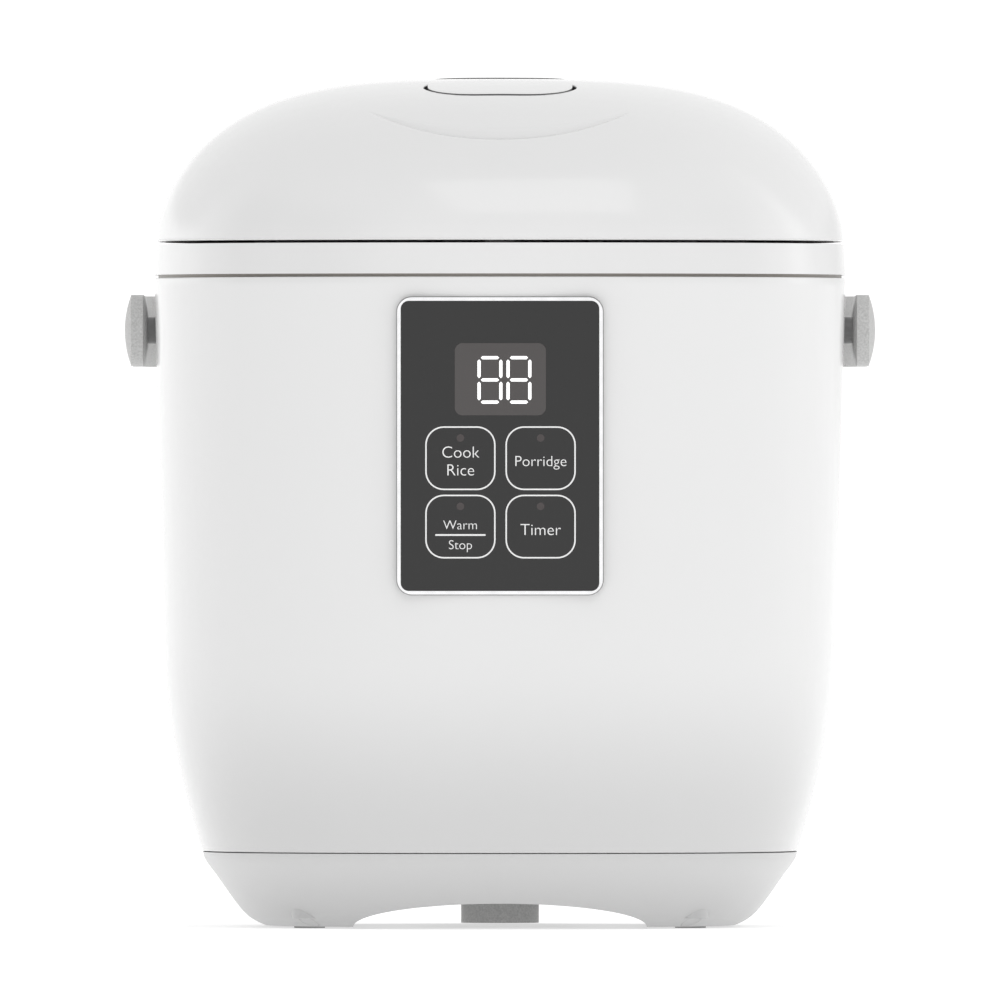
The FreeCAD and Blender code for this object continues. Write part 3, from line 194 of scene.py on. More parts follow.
# Near-black walls inside the gaps round the button, vent cap and slots: painted shadow in the gaps.
GAP_PAINTED_SHADOW = plastic("gap_painted_shadow", grey(0.10), 0.6, spread=0.05)
TEXTURED_GREY = plastic("textured_grey_plastic", (0.52, 0.52, 0.515), 0.5, spread=0.16, grain=2600,
                        depth=0.12 * MM, fleck=1900)
INLET_GREY = plastic("inlet_grey_plastic", (0.46, 0.46, 0.455), 0.5, spread=0.16, grain=2200, depth=0.10 * MM,
                     fleck=1900)
SHAFT_GREY = plastic("pivot_plastic", (0.2, 0.2, 0.2), 0.4, spread=0.05)
INNER_PLASTIC = plastic("inner_plastic", (0.70, 0.70, 0.69), 0.38, grain=1500, depth=0.03 * MM)
DARK_PLASTIC = plastic("dark_component_plastic", (0.03, 0.03, 0.032), 0.42, spread=0.1)
BOARD = plastic("circuit_board", (0.02, 0.12, 0.045), 0.3, spread=0.15, grain=1800)
SILICONE = plastic("silicone", (0.66, 0.66, 0.64), 0.5, grain=1600, depth=0.02 * MM)
RUBBER = plastic("foot_rubber", (0.30, 0.30, 0.30), 0.62, spread=0.06, grain=2000, depth=0.05 * MM)
PANEL = plastic("smoked_panel", (0.012, 0.012, 0.012), 0.20, spread=0.03, grain=300, depth=0.002 * MM)
WINDOW = plastic("display_tint", (0.068, 0.062, 0.061), 0.22, spread=0.03, grain=300, depth=0.002 * MM)
CHROME = metal("plated_ring", (0.86, 0.86, 0.87), 0.16, scale=300, depth=0.002 * MM)
# Dark grey ring round the bezel: painted shadow line of the gap between bezel and shell.
BEZEL_SHADOW_METAL = metal("bezel_painted_shadow_metal", grey(0.30), 0.35)
TRIM = metal("trim_metallic", (0.25, 0.235, 0.215), 0.42)
STEEL = metal("bright_steel", (0.60, 0.61, 0.62), 0.28)
SHEET = metal("zinc_sheet", (0.58, 0.59, 0.60), 0.36, scale=120)
ALUMINIUM = metal("brushed_aluminium", (0.74, 0.75, 0.76), 0.32, stretch=(1, 14, 1), scale=260)
CAST = metal("cast_aluminium", (0.62, 0.63, 0.64), 0.45, scale=500, depth=0.04 * MM)
BRASS = metal("contact_brass", (0.72, 0.55, 0.26), 0.3)


def coated_pot():
    """Dark non-stick coating with fine pale speckles."""
    material, tree, principled = shader("non_stick_coating", grey(0.035), 0.38)
    speckle = noise(tree, 2400, 2)
    ramp = tree.nodes.new("ShaderNodeValToRGB")
    ramp.color_ramp.elements[0].position = 0.66
    ramp.color_ramp.elements[1].position = 0.74
    ramp.color_ramp.elements[0].color = (*grey(0.032), 1)
    ramp.color_ramp.elements[1].color = (*grey(0.20), 1)
    tree.links.new(speckle, ramp.inputs["Fac"])
    tree.links.new(ramp.outputs["Color"], principled.inputs["Base Color"])
    vary(tree, noise(tree, 60, 4), 0.30, 0.46, principled.inputs["Roughness"])
    bump(tree, noise(tree, 1400, 3), 0.4, 0.02 * MM, principled)
    return material


def glowing(name, color, strength):
    """A mark with its own light, pale and slightly uneven: a lit display, and painted glow where it is used on
    print.
    """
    material, tree, principled = shader(name, color, 0.4)
    cloud = noise(tree, 900, 2)
    tint(tree, cloud, tuple(c * 0.96 for c in color), color, principled.inputs["Base Color"])
    tint(tree, cloud, tuple(c * 0.96 for c in color), color, principled.inputs["Emission Color"])
    principled.inputs["Emission Strength"].default_value = strength
    return material


POT = coated_pot()
DIGIT = glowing("lit_digits", (0.92, 0.92, 0.92), 0.55)
# Printed white lettering and key outlines with a faint glow of their own: painted light on the print.
PRINT_PAINTED_GLOW = glowing("printed_white_painted_glow", (0.80, 0.80, 0.80), 0.12)
LAMP = plastic("unlit_lamp", (0.055, 0.045, 0.045), 0.3, spread=0.05)

NODE_MATERIALS = {
    WHITE: ["body_shell", "upper_rim", "lid_cover", "release_button", "steam_vent_cap"],
    BASE_WHITE_PAINTED_SHADE: ["base_housing"],
    TEXTURED_GREY: ["carry_handle"], INLET_GREY: ["power_inlet"], SHAFT_GREY: ["handle_pivots"],
    INNER_PLASTIC: ["lid_liner", "latch_hook", "steam_valve_body"],
    DARK_PLASTIC: ["power_parts", "thermal_fuse", "display_module", "lid_sensor"],
    BOARD: ["power_board", "control_board"], SILICONE: ["lid_gasket", "valve_gasket", "inner_lid_knob"],
    RUBBER: ["feet"], PANEL: ["control_panel"], WINDOW: ["display_window"], CHROME: ["control_bezel"],
    TRIM: ["trim_ring"], BRASS: ["inlet_contacts"], POT: ["inner_pot"], CAST: ["heating_plate", "temp_sensor"],
    ALUMINIUM: ["inner_lid"], DIGIT: ["display_digits"], LAMP: ["indicator_lamps"],
    STEEL: ["base_screws", "plate_screws", "sensor_spring", "hinge_pin", "hinge_spring", "latch_keeper",
            "lid_screws", "button_spring", "latch_pin", "latch_spring"],
    SHEET: ["inner_casing", "heating_element", "warming_band", "sensor_bracket", "hinge_bracket"],
}
for material, names in NODE_MATERIALS.items():
    for name in names:
        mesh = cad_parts[name].data
        mesh.materials.clear()
        mesh.materials.append(material)


# ---------------------------------------------------------------- building meshes
def mesh_object(name, verts, faces, material, smooth=True):
    mesh = bpy.data.meshes.new(name)
    mesh.from_pydata([tuple(v) for v in verts], [], [tuple(f) for f in faces])
    mesh.validate()
    mesh.update()
    piece = bpy.data.objects.new(name, mesh)
    bpy.context.scene.collection.objects.link(piece)
    mesh.materials.append(material)
    for polygon in mesh.polygons:
        polygon.use_smooth = smooth
    return piece


def face_outwards(piece):
    work = bmesh.new()
    work.from_mesh(piece.data)
    bmesh.ops.remove_doubles(work, verts=work.verts, dist=1e-6)
    bmesh.ops.recalc_face_normals(work, faces=work.faces)
    work.to_mesh(piece.data)
    work.free()
    piece.data.update()
    return piece


def crease(piece, degrees):
    """Keep edges sharper than this angle sharp, and smooth the rest."""
    piece.data.shade_smooth()
    work = bmesh.new()
    work.from_mesh(piece.data)
    for edge in work.edges:
        if len(edge.link_faces) == 2:
            edge.smooth = edge.calc_face_angle(0) < math.radians(degrees)
    work.to_mesh(piece.data)
    work.free()
    return piece


def install(piece, body, node=None):
    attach(piece, body)
    if node:
        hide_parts(node)
    return piece


def plan(half_w, half_d, angle):
    """A point on the superellipse plan at a polar angle."""
    c, s = math.cos(angle), math.sin(angle)
    reach = (abs(c / half_w) ** PLAN_POWER + abs(s / half_d) ** PLAN_POWER) ** (-1 / PLAN_POWER)
    return reach * c, reach * s


def skin(name, rings, material):
    """A closed shell from a loop of plan rings (half width, half depth, height)."""
    verts, faces = [], []
    for half_w, half_d, z in rings:
        for k in range(ROUND):
            x, y = plan(half_w, half_d, 2 * math.pi * k / ROUND)
            verts.append((x, y, z))
    count = len(rings)
    for ring in range(count):
        after = (ring + 1) % count
        for k in range(ROUND):
            j = (k + 1) % ROUND
            faces.append((ring * ROUND + k, ring * ROUND + j, after * ROUND + j, after * ROUND + k))
    return face_outwards(mesh_object(name, verts, faces, material))


def body_half(z):
    low = max(0.0, SHELL_BOTTOM + BELLY_HEIGHT - z) / BELLY_HEIGHT
    return HALF_W - BODY_TAPER * (SHELL_TOP - z) - BELLY_DEPTH * low ** BELLY_POWER


def wall_rings(half_at, low, high, edge_low, edge_high, steps):
    """Outer wall with rounded edges, then the inner wall back down: one closed loop of rings."""
    def ring(half, z, inset):
        return half - inset, half * DEPTH_RATIO - inset, z
    rings = []
    for k in range(CORNER_STEPS + 1):
        a = math.pi / 2 * k / CORNER_STEPS
        rings.append(ring(half_at(low), low + edge_low * (1 - math.cos(a)), edge_low * (1 - math.sin(a))))
    for k in range(1, steps):
        z = low + edge_low + (high - edge_high - low - edge_low) * k / steps
        rings.append(ring(half_at(z), z, 0))
    for k in range(CORNER_STEPS + 1):
        a = math.pi / 2 * k / CORNER_STEPS
        rings.append(ring(half_at(high), high - edge_high * (1 - math.sin(a)), edge_high * (1 - math.cos(a))))
    rings.append(ring(half_at(high), high, WALL))
    for k in range(1, INNER_STEPS):
        z = high + (low - high) * k / INNER_STEPS
        rings.append(ring(half_at(z), z, WALL))
    rings.append(ring(half_at(low), low, WALL))
    return rings


shell_rings = wall_rings(body_half, SHELL_BOTTOM, SHELL_TOP, FOOT_EDGE, TOP_EDGE, BODY_STEPS)
shell = skin("shell_skin", shell_rings, SHELL_WHITE_PAINTED_SHADE)
install(shell, "cooker", "body_shell")


# ---------------------------------------------------------------- domed lid with its openings
def dome_share(x, y):
    return ((abs(x) / LID_HALF_W) ** PLAN_POWER + (abs(y) / LID_HALF_D) ** PLAN_POWER) ** (1 / PLAN_POWER)


def dome_z(x, y):
    share = min(1.0, dome_share(x, y))
    return LID_BOTTOM + LID_RISE * (1 - share ** DOME_SIDE_POWER) ** (1 / DOME_RISE_POWER)


def dome_y(x, z):
    """Where the front of the dome reaches height z at a given x."""
    level = (z - LID_BOTTOM) / LID_RISE
    share = (1 - level ** DOME_RISE_POWER) ** (1 / DOME_SIDE_POWER)
    return -LID_HALF_D * max(0.0, share ** PLAN_POWER - (abs(x) / LID_HALF_W) ** PLAN_POWER) ** (1 / PLAN_POWER)


BUTTON_Y = -55.5 * MM
BUTTON_W, BUTTON_D = 21.2 * MM, 13.5 * MM
BUTTON_POWER = 2.8
WELL_W, WELL_D = 22.4 * MM, 14.05 * MM
BUTTON_CORNER = 0.8
WAIST = 0.7 * MM          # how far the front edge of the button dips in at its middle
WAIST_HALF = 13 * MM
VENT_Y = 28 * MM
VENT_R = 19.5 * MM
VENT_GAP = 0.35 * MM
EDGE = 0.45 * MM          # rounding of the edges of the lid's openings
SCOOP_END_X = 38.7 * MM
SCOOP_LOW_Z = 231.3 * MM
SCOOP_HIGH_Z = 233.8 * MM
SCOOP_END_Z = 239.2 * MM
SCOOP_DEPTH = 1.5 * MM
SCOOP_CURVE = 2.2         # how late the scoop's ends climb
SCOOP_EASE = 0.12         # share of its height over which its lower edge eases in


def waist(x):
    u = min(1.0, abs(x) / WAIST_HALF)
    return WAIST * (1 - u * u) ** 2


def button_loop(half_w, half_d, side_power, count=160):
    """The button's plan: a wide rounded shape whose front edge dips in at the middle."""
    points = []
    for k in range(count):
        angle = 2 * math.pi * k / count
        x = half_w * math.copysign(abs(math.cos(angle)) ** BUTTON_CORNER, math.cos(angle))
        depth = half_d * (1 - (abs(x) / half_w) ** BUTTON_POWER) ** side_power
        if math.sin(angle) < 0:
            depth = -(depth - waist(x) * min(1.0, depth / (0.8 * half_d)))
        points.append(Vector((x, BUTTON_Y + depth)))
    return points


def circle_loop(radius, middle_y, count=120):
    return [Vector((radius * math.cos(2 * math.pi * k / count),
                    middle_y + radius * math.sin(2 * math.pi * k / count))) for k in range(count)]


def grown(loop, distance):
    """A loop moved outwards by a distance along its normals."""
    count = len(loop)
    moved = []
    for k in range(count):
        along = (loop[(k + 1) % count] - loop[k - 1]).normalized()
        moved.append(loop[k] + Vector((along.y, -along.x)) * distance)
    return moved


def inside(point, loop):
    x, y = point
    hit = False
    for k in range(len(loop)):
        a, b = loop[k - 1], loop[k]
        if (a.y > y) != (b.y > y) and x < (b.x - a.x) * (y - a.y) / (b.y - a.y) + a.x:
            hit = not hit
    return hit


def near_loop(points, loop):
    """Distance from each point to the nearest vertex of a loop."""
    a = np.array([(p[0], p[1]) for p in points])
    b = np.array([(p[0], p[1]) for p in loop])
    return np.sqrt(((a[:, None, :] - b[None, :, :]) ** 2).sum(2)).min(1)


def scoop_edges(x):
    """Where the scoop's lower and upper edge lie in plan at a given x."""
    climb = (abs(x) / SCOOP_END_X) ** SCOOP_CURVE
    return (dome_y(x, SCOOP_LOW_Z + (SCOOP_END_Z - SCOOP_LOW_Z) * climb),
            dome_y(x, SCOOP_HIGH_Z + (SCOOP_END_Z - SCOOP_HIGH_Z) * climb))


def scoop_drop(x, y):
    """Depth of the thumb scoop: a crescent step in front of the button, deepest along its lower edge."""
    u = abs(x) / SCOOP_END_X
    if u >= 1:
        return 0.0
    low_y, high_y = scoop_edges(x)
    if high_y - low_y < 1e-5:
        return 0.0
    w = (y - low_y) / (high_y - low_y)
    if w < -SCOOP_EASE or w > 1:
        return 0.0
    ease = min(1.0, (w + SCOOP_EASE) / SCOOP_EASE)
    return SCOOP_DEPTH * (1 - u ** 3) * ease * ease * (3 - 2 * ease) * (1 - max(0.0, w)) ** 0.8


def surface(points_2d, loops, keep, drop):
    """Triangulate a plan region and lift it onto the dome. Returns verts and faces.

    loops are closed outlines that the mesh must follow; keep(point) says which triangles stay by
    their middles; drop(x, y) lowers the surface.
    """
    verts = [Vector(p) for p in points_2d]
    edges = []
    for loop in loops:
        start = len(verts)
        verts += [Vector(p) for p in loop]
        edges += [(start + k, start + (k + 1) % len(loop)) for k in range(len(loop))]
    out_verts, _, faces, _, _, _ = delaunay_2d_cdt(verts, edges, [], 0, 1e-7)
    kept = []
    for face in faces:
        middle = sum((out_verts[i] for i in face), Vector((0, 0))) / len(face)
        if keep(middle):
            kept.append(tuple(face))
    lifted = [(p.x, p.y, dome_z(p.x, p.y) - drop(p.x, p.y)) for p in out_verts]
    return lifted, kept


def rounded(distance):
    """How far a rounded edge has fallen away at a distance from the edge."""
    if distance >= EDGE:
        return 0.0
    return EDGE - math.sqrt(max(0.0, EDGE ** 2 - (EDGE - distance) ** 2))


def underside(verts, faces, vert_count, face_count, depth):
    """Close a lifted region with a copy of itself on the dome's underside."""
    start = len(verts)
    verts += [(x, y, dome_z(x, y) - depth) for x, y, _ in verts[:vert_count]]
    faces += [tuple(start + i for i in reversed(face)) for face in faces[:face_count]]


EDGE_STEPS = (0.0, 0.06 * MM, 0.14 * MM, 0.26 * MM, 0.45 * MM)
well_loop = button_loop(WELL_W, WELL_D, 0.5)
cap_hole_loop = circle_loop(VENT_R + VENT_GAP, VENT_Y)
LID_SPLIT = 0.91          # the top is a free mesh inside this share of the plan, rings outside it
OUTER_STEPS = 60
RING_CROWDING = 1.15      # crowds the rings towards the lower edge
LID_ROLL = 0.5 * MM       # rounding of the lid's lower edge
LID_SPACING = 1.5 * MM    # of the points on the top
ROW_PITCH = 0.866         # rows of an even triangle grid, as a share of the spacing
SCOOP_SPACING = 0.4 * MM
SCOOP_ROWS = (-0.5, -0.25, -0.12, -0.06, 0, 0.06, 0.15, 0.3, 0.45, 0.6, 0.8, 1.0, 1.25, 1.6)
LEAST_BAND = 0.3 * MM     # the scoop's rows stay this far apart where its ends run out
HOLE_CLEAR = 0.9 * MM     # free points stay this far from an opening


def lid_mesh():
    split_loop = [Vector(plan(LID_HALF_W * LID_SPLIT, LID_HALF_D * LID_SPLIT, 2 * math.pi * k / ROUND))
                  for k in range(ROUND)]
    grid = []
    steps = int(LID_HALF_D / LID_SPACING) + 1
    for i in range(-steps, steps + 1):
        for j in range(-steps, steps + 1):
            x, y = (i + 0.5 * (j % 2)) * LID_SPACING, j * LID_SPACING * ROW_PITCH
            if dome_share(x, y) < LID_SPLIT - 0.012:
                grid.append((x, y))
    columns = int(SCOOP_END_X / SCOOP_SPACING)
    for i in range(-columns, columns + 1):
        x = i * SCOOP_SPACING
        low_y, high_y = scoop_edges(x)
        band = max(high_y - low_y, LEAST_BAND)
        grid += [(x, low_y + w * band) for w in SCOOP_ROWS]
    holes = [well_loop, cap_hole_loop]
    clear = np.ones(len(grid), bool)
    for hole in holes:
        clear &= near_loop(grid, hole) > HOLE_CLEAR
    grid = [g for g, ok in zip(grid, clear) if ok and not any(inside(g, hole) for hole in holes)
            and dome_share(*g) < LID_SPLIT - 0.008]
    loops = [split_loop]
    for hole in holes:
        loops += [grown(hole, step) for step in EDGE_STEPS]

    def keep(p):
        return dome_share(p.x, p.y) < LID_SPLIT and not any(inside(p, hole) for hole in holes)

    verts, faces = surface(grid, loops, keep, scoop_drop)
    # Round the edges of the openings.
    flat = [(v[0], v[1]) for v in verts]
    for hole in holes:
        near = near_loop(flat, hole)
        for k, distance in enumerate(near):
            if distance < EDGE:
                verts[k] = (verts[k][0], verts[k][1], verts[k][2] - rounded(distance))
    # Walls of the openings, which get the painted gap shadow.
    top_count, first_wall = len(verts), len(faces)
    for hole in holes:
        start = len(verts)
        for p in hole:
            verts.append((p.x, p.y, dome_z(p.x, p.y) - EDGE))
        for p in hole:
            verts.append((p.x, p.y, dome_z(p.x, p.y) - WALL))
        n = len(hole)
        faces += [(start + k, start + (k + 1) % n, start + n + (k + 1) % n, start + n + k) for k in range(n)]
    painted_shadow_faces = range(first_wall, len(faces))
    underside(verts, faces, top_count, first_wall, WALL)
    # The sides of the dome, in rings down to the rolled lower edge.
    top_level = (1 - LID_SPLIT ** DOME_SIDE_POWER) ** (1 / DOME_RISE_POWER)
    rings = []
    for k in range(OUTER_STEPS + 1):
        level = top_level * (1 - k / OUTER_STEPS) ** RING_CROWDING
        share = (1 - level ** DOME_RISE_POWER) ** (1 / DOME_SIDE_POWER)
        z = max(LID_BOTTOM + LID_ROLL, LID_BOTTOM + LID_RISE * level)
        rings.append((LID_HALF_W * share, LID_HALF_D * share, z))
    for k in range(1, CORNER_STEPS + 1):
        a = math.pi / 2 * k / CORNER_STEPS
        inset = LID_ROLL * (1 - math.cos(a))
        rings.append((LID_HALF_W - inset, LID_HALF_D - inset, LID_BOTTOM + LID_ROLL * (1 - math.sin(a))))
    outer = rings[:OUTER_STEPS + 1]
    for k in range(OUTER_STEPS, -1, -1):
        lean = k / OUTER_STEPS
        half_w, half_d, z = outer[k]
        if k == OUTER_STEPS:
            z = LID_BOTTOM
        rings.append((half_w - WALL * lean, half_d - WALL * lean, z - WALL * (1 - lean)))
    start = len(verts)
    for half_w, half_d, z in rings:
        for k in range(ROUND):
            x, y = plan(half_w, half_d, 2 * math.pi * k / ROUND)
            verts.append((x, y, z))
    for ring in range(len(rings) - 1):
        for k in range(ROUND):
            j = (k + 1) % ROUND
            faces.append((start + ring * ROUND + k, start + ring * ROUND + j,
                          start + (ring + 1) * ROUND + j, start + (ring + 1) * ROUND + k))
    return verts, faces, painted_shadow_faces


verts, faces, painted_shadow_faces = lid_mesh()
lid = mesh_object("lid_skin", verts, faces, WHITE)
# The walls of the openings get the near-black painted gap shadow.
lid.data.materials.append(GAP_PAINTED_SHADOW)
for index in painted_shadow_faces:
    lid.data.polygons[index].material_index = 1
face_outwards(lid)
install(lid, "lid", "lid_cover")


PLUG_SPACING = 1.3 * MM
PLUG_CLEAR = 0.7 * MM     # free points stay this far from the outline and the slots


def plug_mesh(name, loop, depth, material, slots=(), proud=0.0, edge=EDGE):
    """A piece that fills an opening in the dome, flush or proud: rounded edge, and side walls in painted gap
    shadow.
    """
    xs = [p.x for p in loop]
    ys = [p.y for p in loop]
    grid = []
    for i in range(int(min(xs) / PLUG_SPACING), int(max(xs) / PLUG_SPACING) + 1):
        for j in range(int(min(ys) / PLUG_SPACING), int(max(ys) / PLUG_SPACING) + 1):
            grid.append((i * PLUG_SPACING, j * PLUG_SPACING))
    near = near_loop(grid, loop)
    for slot in slots:
        near = np.minimum(near, near_loop(grid, slot))
    grid = [g for g, d in zip(grid, near)
            if d > PLUG_CLEAR and inside(g, loop) and not any(inside(g, slot) for slot in slots)]
    loops = [grown(loop, -step) for step in EDGE_STEPS]
    for slot in slots:
        loops += [grown(slot, step) for step in EDGE_STEPS[:3]]

    def keep(p):
        return inside(p, loop) and not any(inside(p, slot) for slot in slots)

    verts, faces = surface(grid, loops, keep, lambda x, y: 0.0)
    flat = [(v[0], v[1]) for v in verts]
    near = near_loop(flat, loop)
    verts = [(v[0], v[1], v[2] + proud - rounded(d) * edge / EDGE) for v, d in zip(verts, near)]
    top_count, first_wall = len(verts), len(faces)
    for ring_loop in (loop, *slots):
        start = len(verts)
        n = len(ring_loop)
        drop = (edge if ring_loop is loop else 0.0) - proud
        for p in ring_loop:
            verts.append((p.x, p.y, dome_z(p.x, p.y) - drop))
        for p in ring_loop:
            verts.append((p.x, p.y, dome_z(p.x, p.y) - depth))
        faces += [(start + k, start + (k + 1) % n, start + n + (k + 1) % n, start + n + k) for k in range(n)]
    painted_shadow_faces = range(first_wall, len(faces))
    underside(verts, faces, top_count, first_wall, depth)
    piece = mesh_object(name, verts, faces, material)
    piece.data.materials.append(GAP_PAINTED_SHADOW)
    for index in painted_shadow_faces:
        piece.data.polygons[index].material_index = 1
    return face_outwards(piece)


BUTTON_PROUD, BUTTON_DEPTH, BUTTON_EDGE = 0.3 * MM, 4.0 * MM, 0.12 * MM
button = plug_mesh("button_cap", button_loop(BUTTON_W, BUTTON_D, 1 / BUTTON_POWER), BUTTON_DEPTH, WHITE,
                   proud=BUTTON_PROUD, edge=BUTTON_EDGE)
install(button, "button", "release_button")


def slot_loop(x, y, half_w, half_d, count=40):
    """A round-ended slot along Y."""
    points = []
    for k in range(count):
        a = 2 * math.pi * k / count
        points.append(Vector((x + half_w * math.cos(a), y + (half_d - half_w) * (1 if math.sin(a) >= 0 else -1)
                              + half_w * math.sin(a))))
    return points


SLOT_HALF_W, SLOT_HALF_D = 1.2 * MM, 6.5 * MM
CAP_DEPTH, CAP_EDGE = 2.2 * MM, 0.1 * MM
CAP_UNDER_BOX = 0.02 * MM    # keeps the cap's top inside the CAD box
VENT_SLOTS = [slot_loop(dx * MM, VENT_Y, SLOT_HALF_W, SLOT_HALF_D) for dx in (-12, -6, 0, 6, 12)]
cap = plug_mesh("vent_cap_face", circle_loop(VENT_R, VENT_Y), CAP_DEPTH, WHITE, VENT_SLOTS,
                CAP_PROUD - CAP_UNDER_BOX, CAP_EDGE)
install(cap, "vent_cap", "steam_vent_cap")

# ---------------------------------------------------------------- covers over the base screws
BASE_BOTTOM = base_low.z
BASE_TOP = SHELL_BOTTOM - 0.3 * MM
BASE_TOP_HALF = HALF_W - BODY_TAPER * (SHELL_TOP - SHELL_BOTTOM) - BELLY_DEPTH - 0.3 * MM
BASE_EDGE, BASE_EDGE_IN = 2.0 * MM, 0.6 * MM
BASE_SPREAD, BASE_ROUND, BASE_ROUND_POWER = 13.8 * MM, 3.9 * MM, 10
SCREW_X, SCREW_Y, COVER_R = 56 * MM, 62 * MM, 3.05 * MM
COVER_INSET, COVER_THICK = 0.03 * MM, 1.2 * MM


def base_half(z):
    u = (BASE_TOP - BASE_EDGE - z) / (BASE_TOP - BASE_EDGE - BASE_BOTTOM)
    return BASE_TOP_HALF - BASE_EDGE_IN - BASE_SPREAD * u - BASE_ROUND * u ** BASE_ROUND_POWER


def base_z(x, y):
    """Height of the underside of the base at a plan point."""
    reach = (abs(x) ** PLAN_POWER + abs(y / DEPTH_RATIO) ** PLAN_POWER) ** (1 / PLAN_POWER)
    low, high = BASE_BOTTOM, BASE_TOP - BASE_EDGE
    if reach <= base_half(low):
        return low
    for _ in range(40):
        middle = (low + high) / 2
        if base_half(middle) < reach:
            low = middle
        else:
            high = middle
    return low


def screw_cover(name, x, y):
    """A moulded cover that closes a screw pocket, level with the underside."""
    steps, turns = 6, 36
    verts, faces = [], []
    for level in (COVER_INSET, COVER_THICK):
        verts.append((x, y, base_z(x, y) + level))
        for ring in range(1, steps + 1):
            for k in range(turns):
                a = 2 * math.pi * k / turns
                px = x + COVER_R * ring / steps * math.cos(a)
                py = y + COVER_R * ring / steps * math.sin(a)
                verts.append((px, py, base_z(px, py) + level))
    size = 1 + steps * turns
    for start in (0, size):
        for k in range(turns):
            j = (k + 1) % turns
            faces.append((start, start + 1 + k, start + 1 + j))
            for ring in range(steps - 1):
                at = start + 1 + ring * turns
                faces.append((at + k, at + turns + k, at + turns + j, at + j))
    edge = 1 + (steps - 1) * turns
    faces += [(edge + k, edge + (k + 1) % turns, size + edge + (k + 1) % turns, size + edge + k)
              for k in range(turns)]
    return face_outwards(mesh_object(name, verts, faces, BASE_WHITE_PAINTED_SHADE))


for index, (sx, sy) in enumerate(((1, 1), (-1, 1), (-1, -1), (1, -1))):
    install(screw_cover("screw_cover_%d" % index, sx * SCREW_X, sy * SCREW_Y), "cooker")

# ---------------------------------------------------------------- control panel marks
PANEL_TILT = math.radians(1.6)
PANEL_Z = 141.3 * MM
PANEL_Y = -(HALF_W - BODY_TAPER * (SHELL_TOP - PANEL_Z)) * DEPTH_RATIO
ON_PANEL = Matrix.Translation((0, PANEL_Y, PANEL_Z)) @ Matrix.Rotation(math.radians(90) + PANEL_TILT, 4, "X")
PANEL_FACE = 0.5 * MM
WINDOW_FACE = 0.55 * MM
MARK = 0.06 * MM


def on_panel(piece):
    """Bring a piece drawn flat (x right, y up, z outwards) onto the panel."""
    piece.data.transform(ON_PANEL)
    piece.data.update()
    return piece


def prism(outlines, low, high):
    """Upright walls, top and bottom for closed outlines; a second outline inside makes a ring."""
    verts, faces = [], []
    for outline in outlines:
        for z in (low, high):
            verts += [(x, y, z) for x, y in outline]
    n = len(outlines[0])
    for index in range(len(outlines)):
        start = index * 2 * n
        for k in range(n):
            j = (k + 1) % n
            faces.append((start + k, start + j, start + n + j, start + n + k))
    if len(outlines) == 1:
        faces += [tuple(range(n, 2 * n)), tuple(reversed(range(n)))]
    else:
        for k in range(n):
            j = (k + 1) % n
            faces.append((n + k, n + j, 3 * n + j, 3 * n + k))
            faces.append((k, j, 2 * n + j, 2 * n + k))
    return verts, faces


def join_parts(name, parts, material):
    verts, faces = [], []
    for part_verts, part_faces in parts:
        start = len(verts)
        verts += part_verts
        faces += [tuple(i + start for i in face) for face in part_faces]
    return crease(face_outwards(mesh_object(name, verts, faces, material)), 40)


def round_rect(x, y, width, height, radius, steps=10):
    points = []
    for corner, (sx, sy) in enumerate(((1, 1), (-1, 1), (-1, -1), (1, -1))):
        cx, cy = x + sx * (width / 2 - radius), y + sy * (height / 2 - radius)
        for k in range(steps + 1):
            a = math.pi / 2 * (corner + k / steps)
            points.append((cx + radius * math.cos(a), cy + radius * math.sin(a)))
    return points


DIGIT_W, DIGIT_H, STROKE = 7.3 * MM, 13.9 * MM, 0.95 * MM
DIGIT_PITCH, DIGIT_X, DIGIT_Y = 8.45 * MM, 1.3 * MM, 19.25 * MM
SEGMENT_GAP = 0.5 * MM


def segment(ax, ay, bx, by):
    """A bar with mitred ends between two corners of a digit."""
    along = Vector((bx - ax, by - ay)).normalized()
    across = Vector((-along.y, along.x)) * (STROKE / 2)
    a = Vector((ax, ay)) + along * SEGMENT_GAP
    b = Vector((bx, by)) - along * SEGMENT_GAP
    inner_a, inner_b = a + along * STROKE * 0.5, b - along * STROKE * 0.5
    return [tuple(p) for p in (a, inner_a - across, inner_b - across, b, inner_b + across, inner_a + across)]


digit_parts = []
for side in (-1, 1):
    cx = DIGIT_X + side * DIGIT_PITCH / 2
    left, right = cx - (DIGIT_W - STROKE) / 2, cx + (DIGIT_W - STROKE) / 2
    low, middle, high = DIGIT_Y - (DIGIT_H - STROKE) / 2, DIGIT_Y, DIGIT_Y + (DIGIT_H - STROKE) / 2
    for ends in ((left, high, right, high), (left, middle, right, middle), (left, low, right, low),
                 (left, middle, left, high), (right, middle, right, high), (left, low, left, middle),
                 (right, low, right, middle)):
        digit_parts.append(prism([segment(*ends)], WINDOW_FACE, WINDOW_FACE + MARK))
install(on_panel(join_parts("digit_segments", digit_parts, DIGIT)), "cooker", "display_digits")

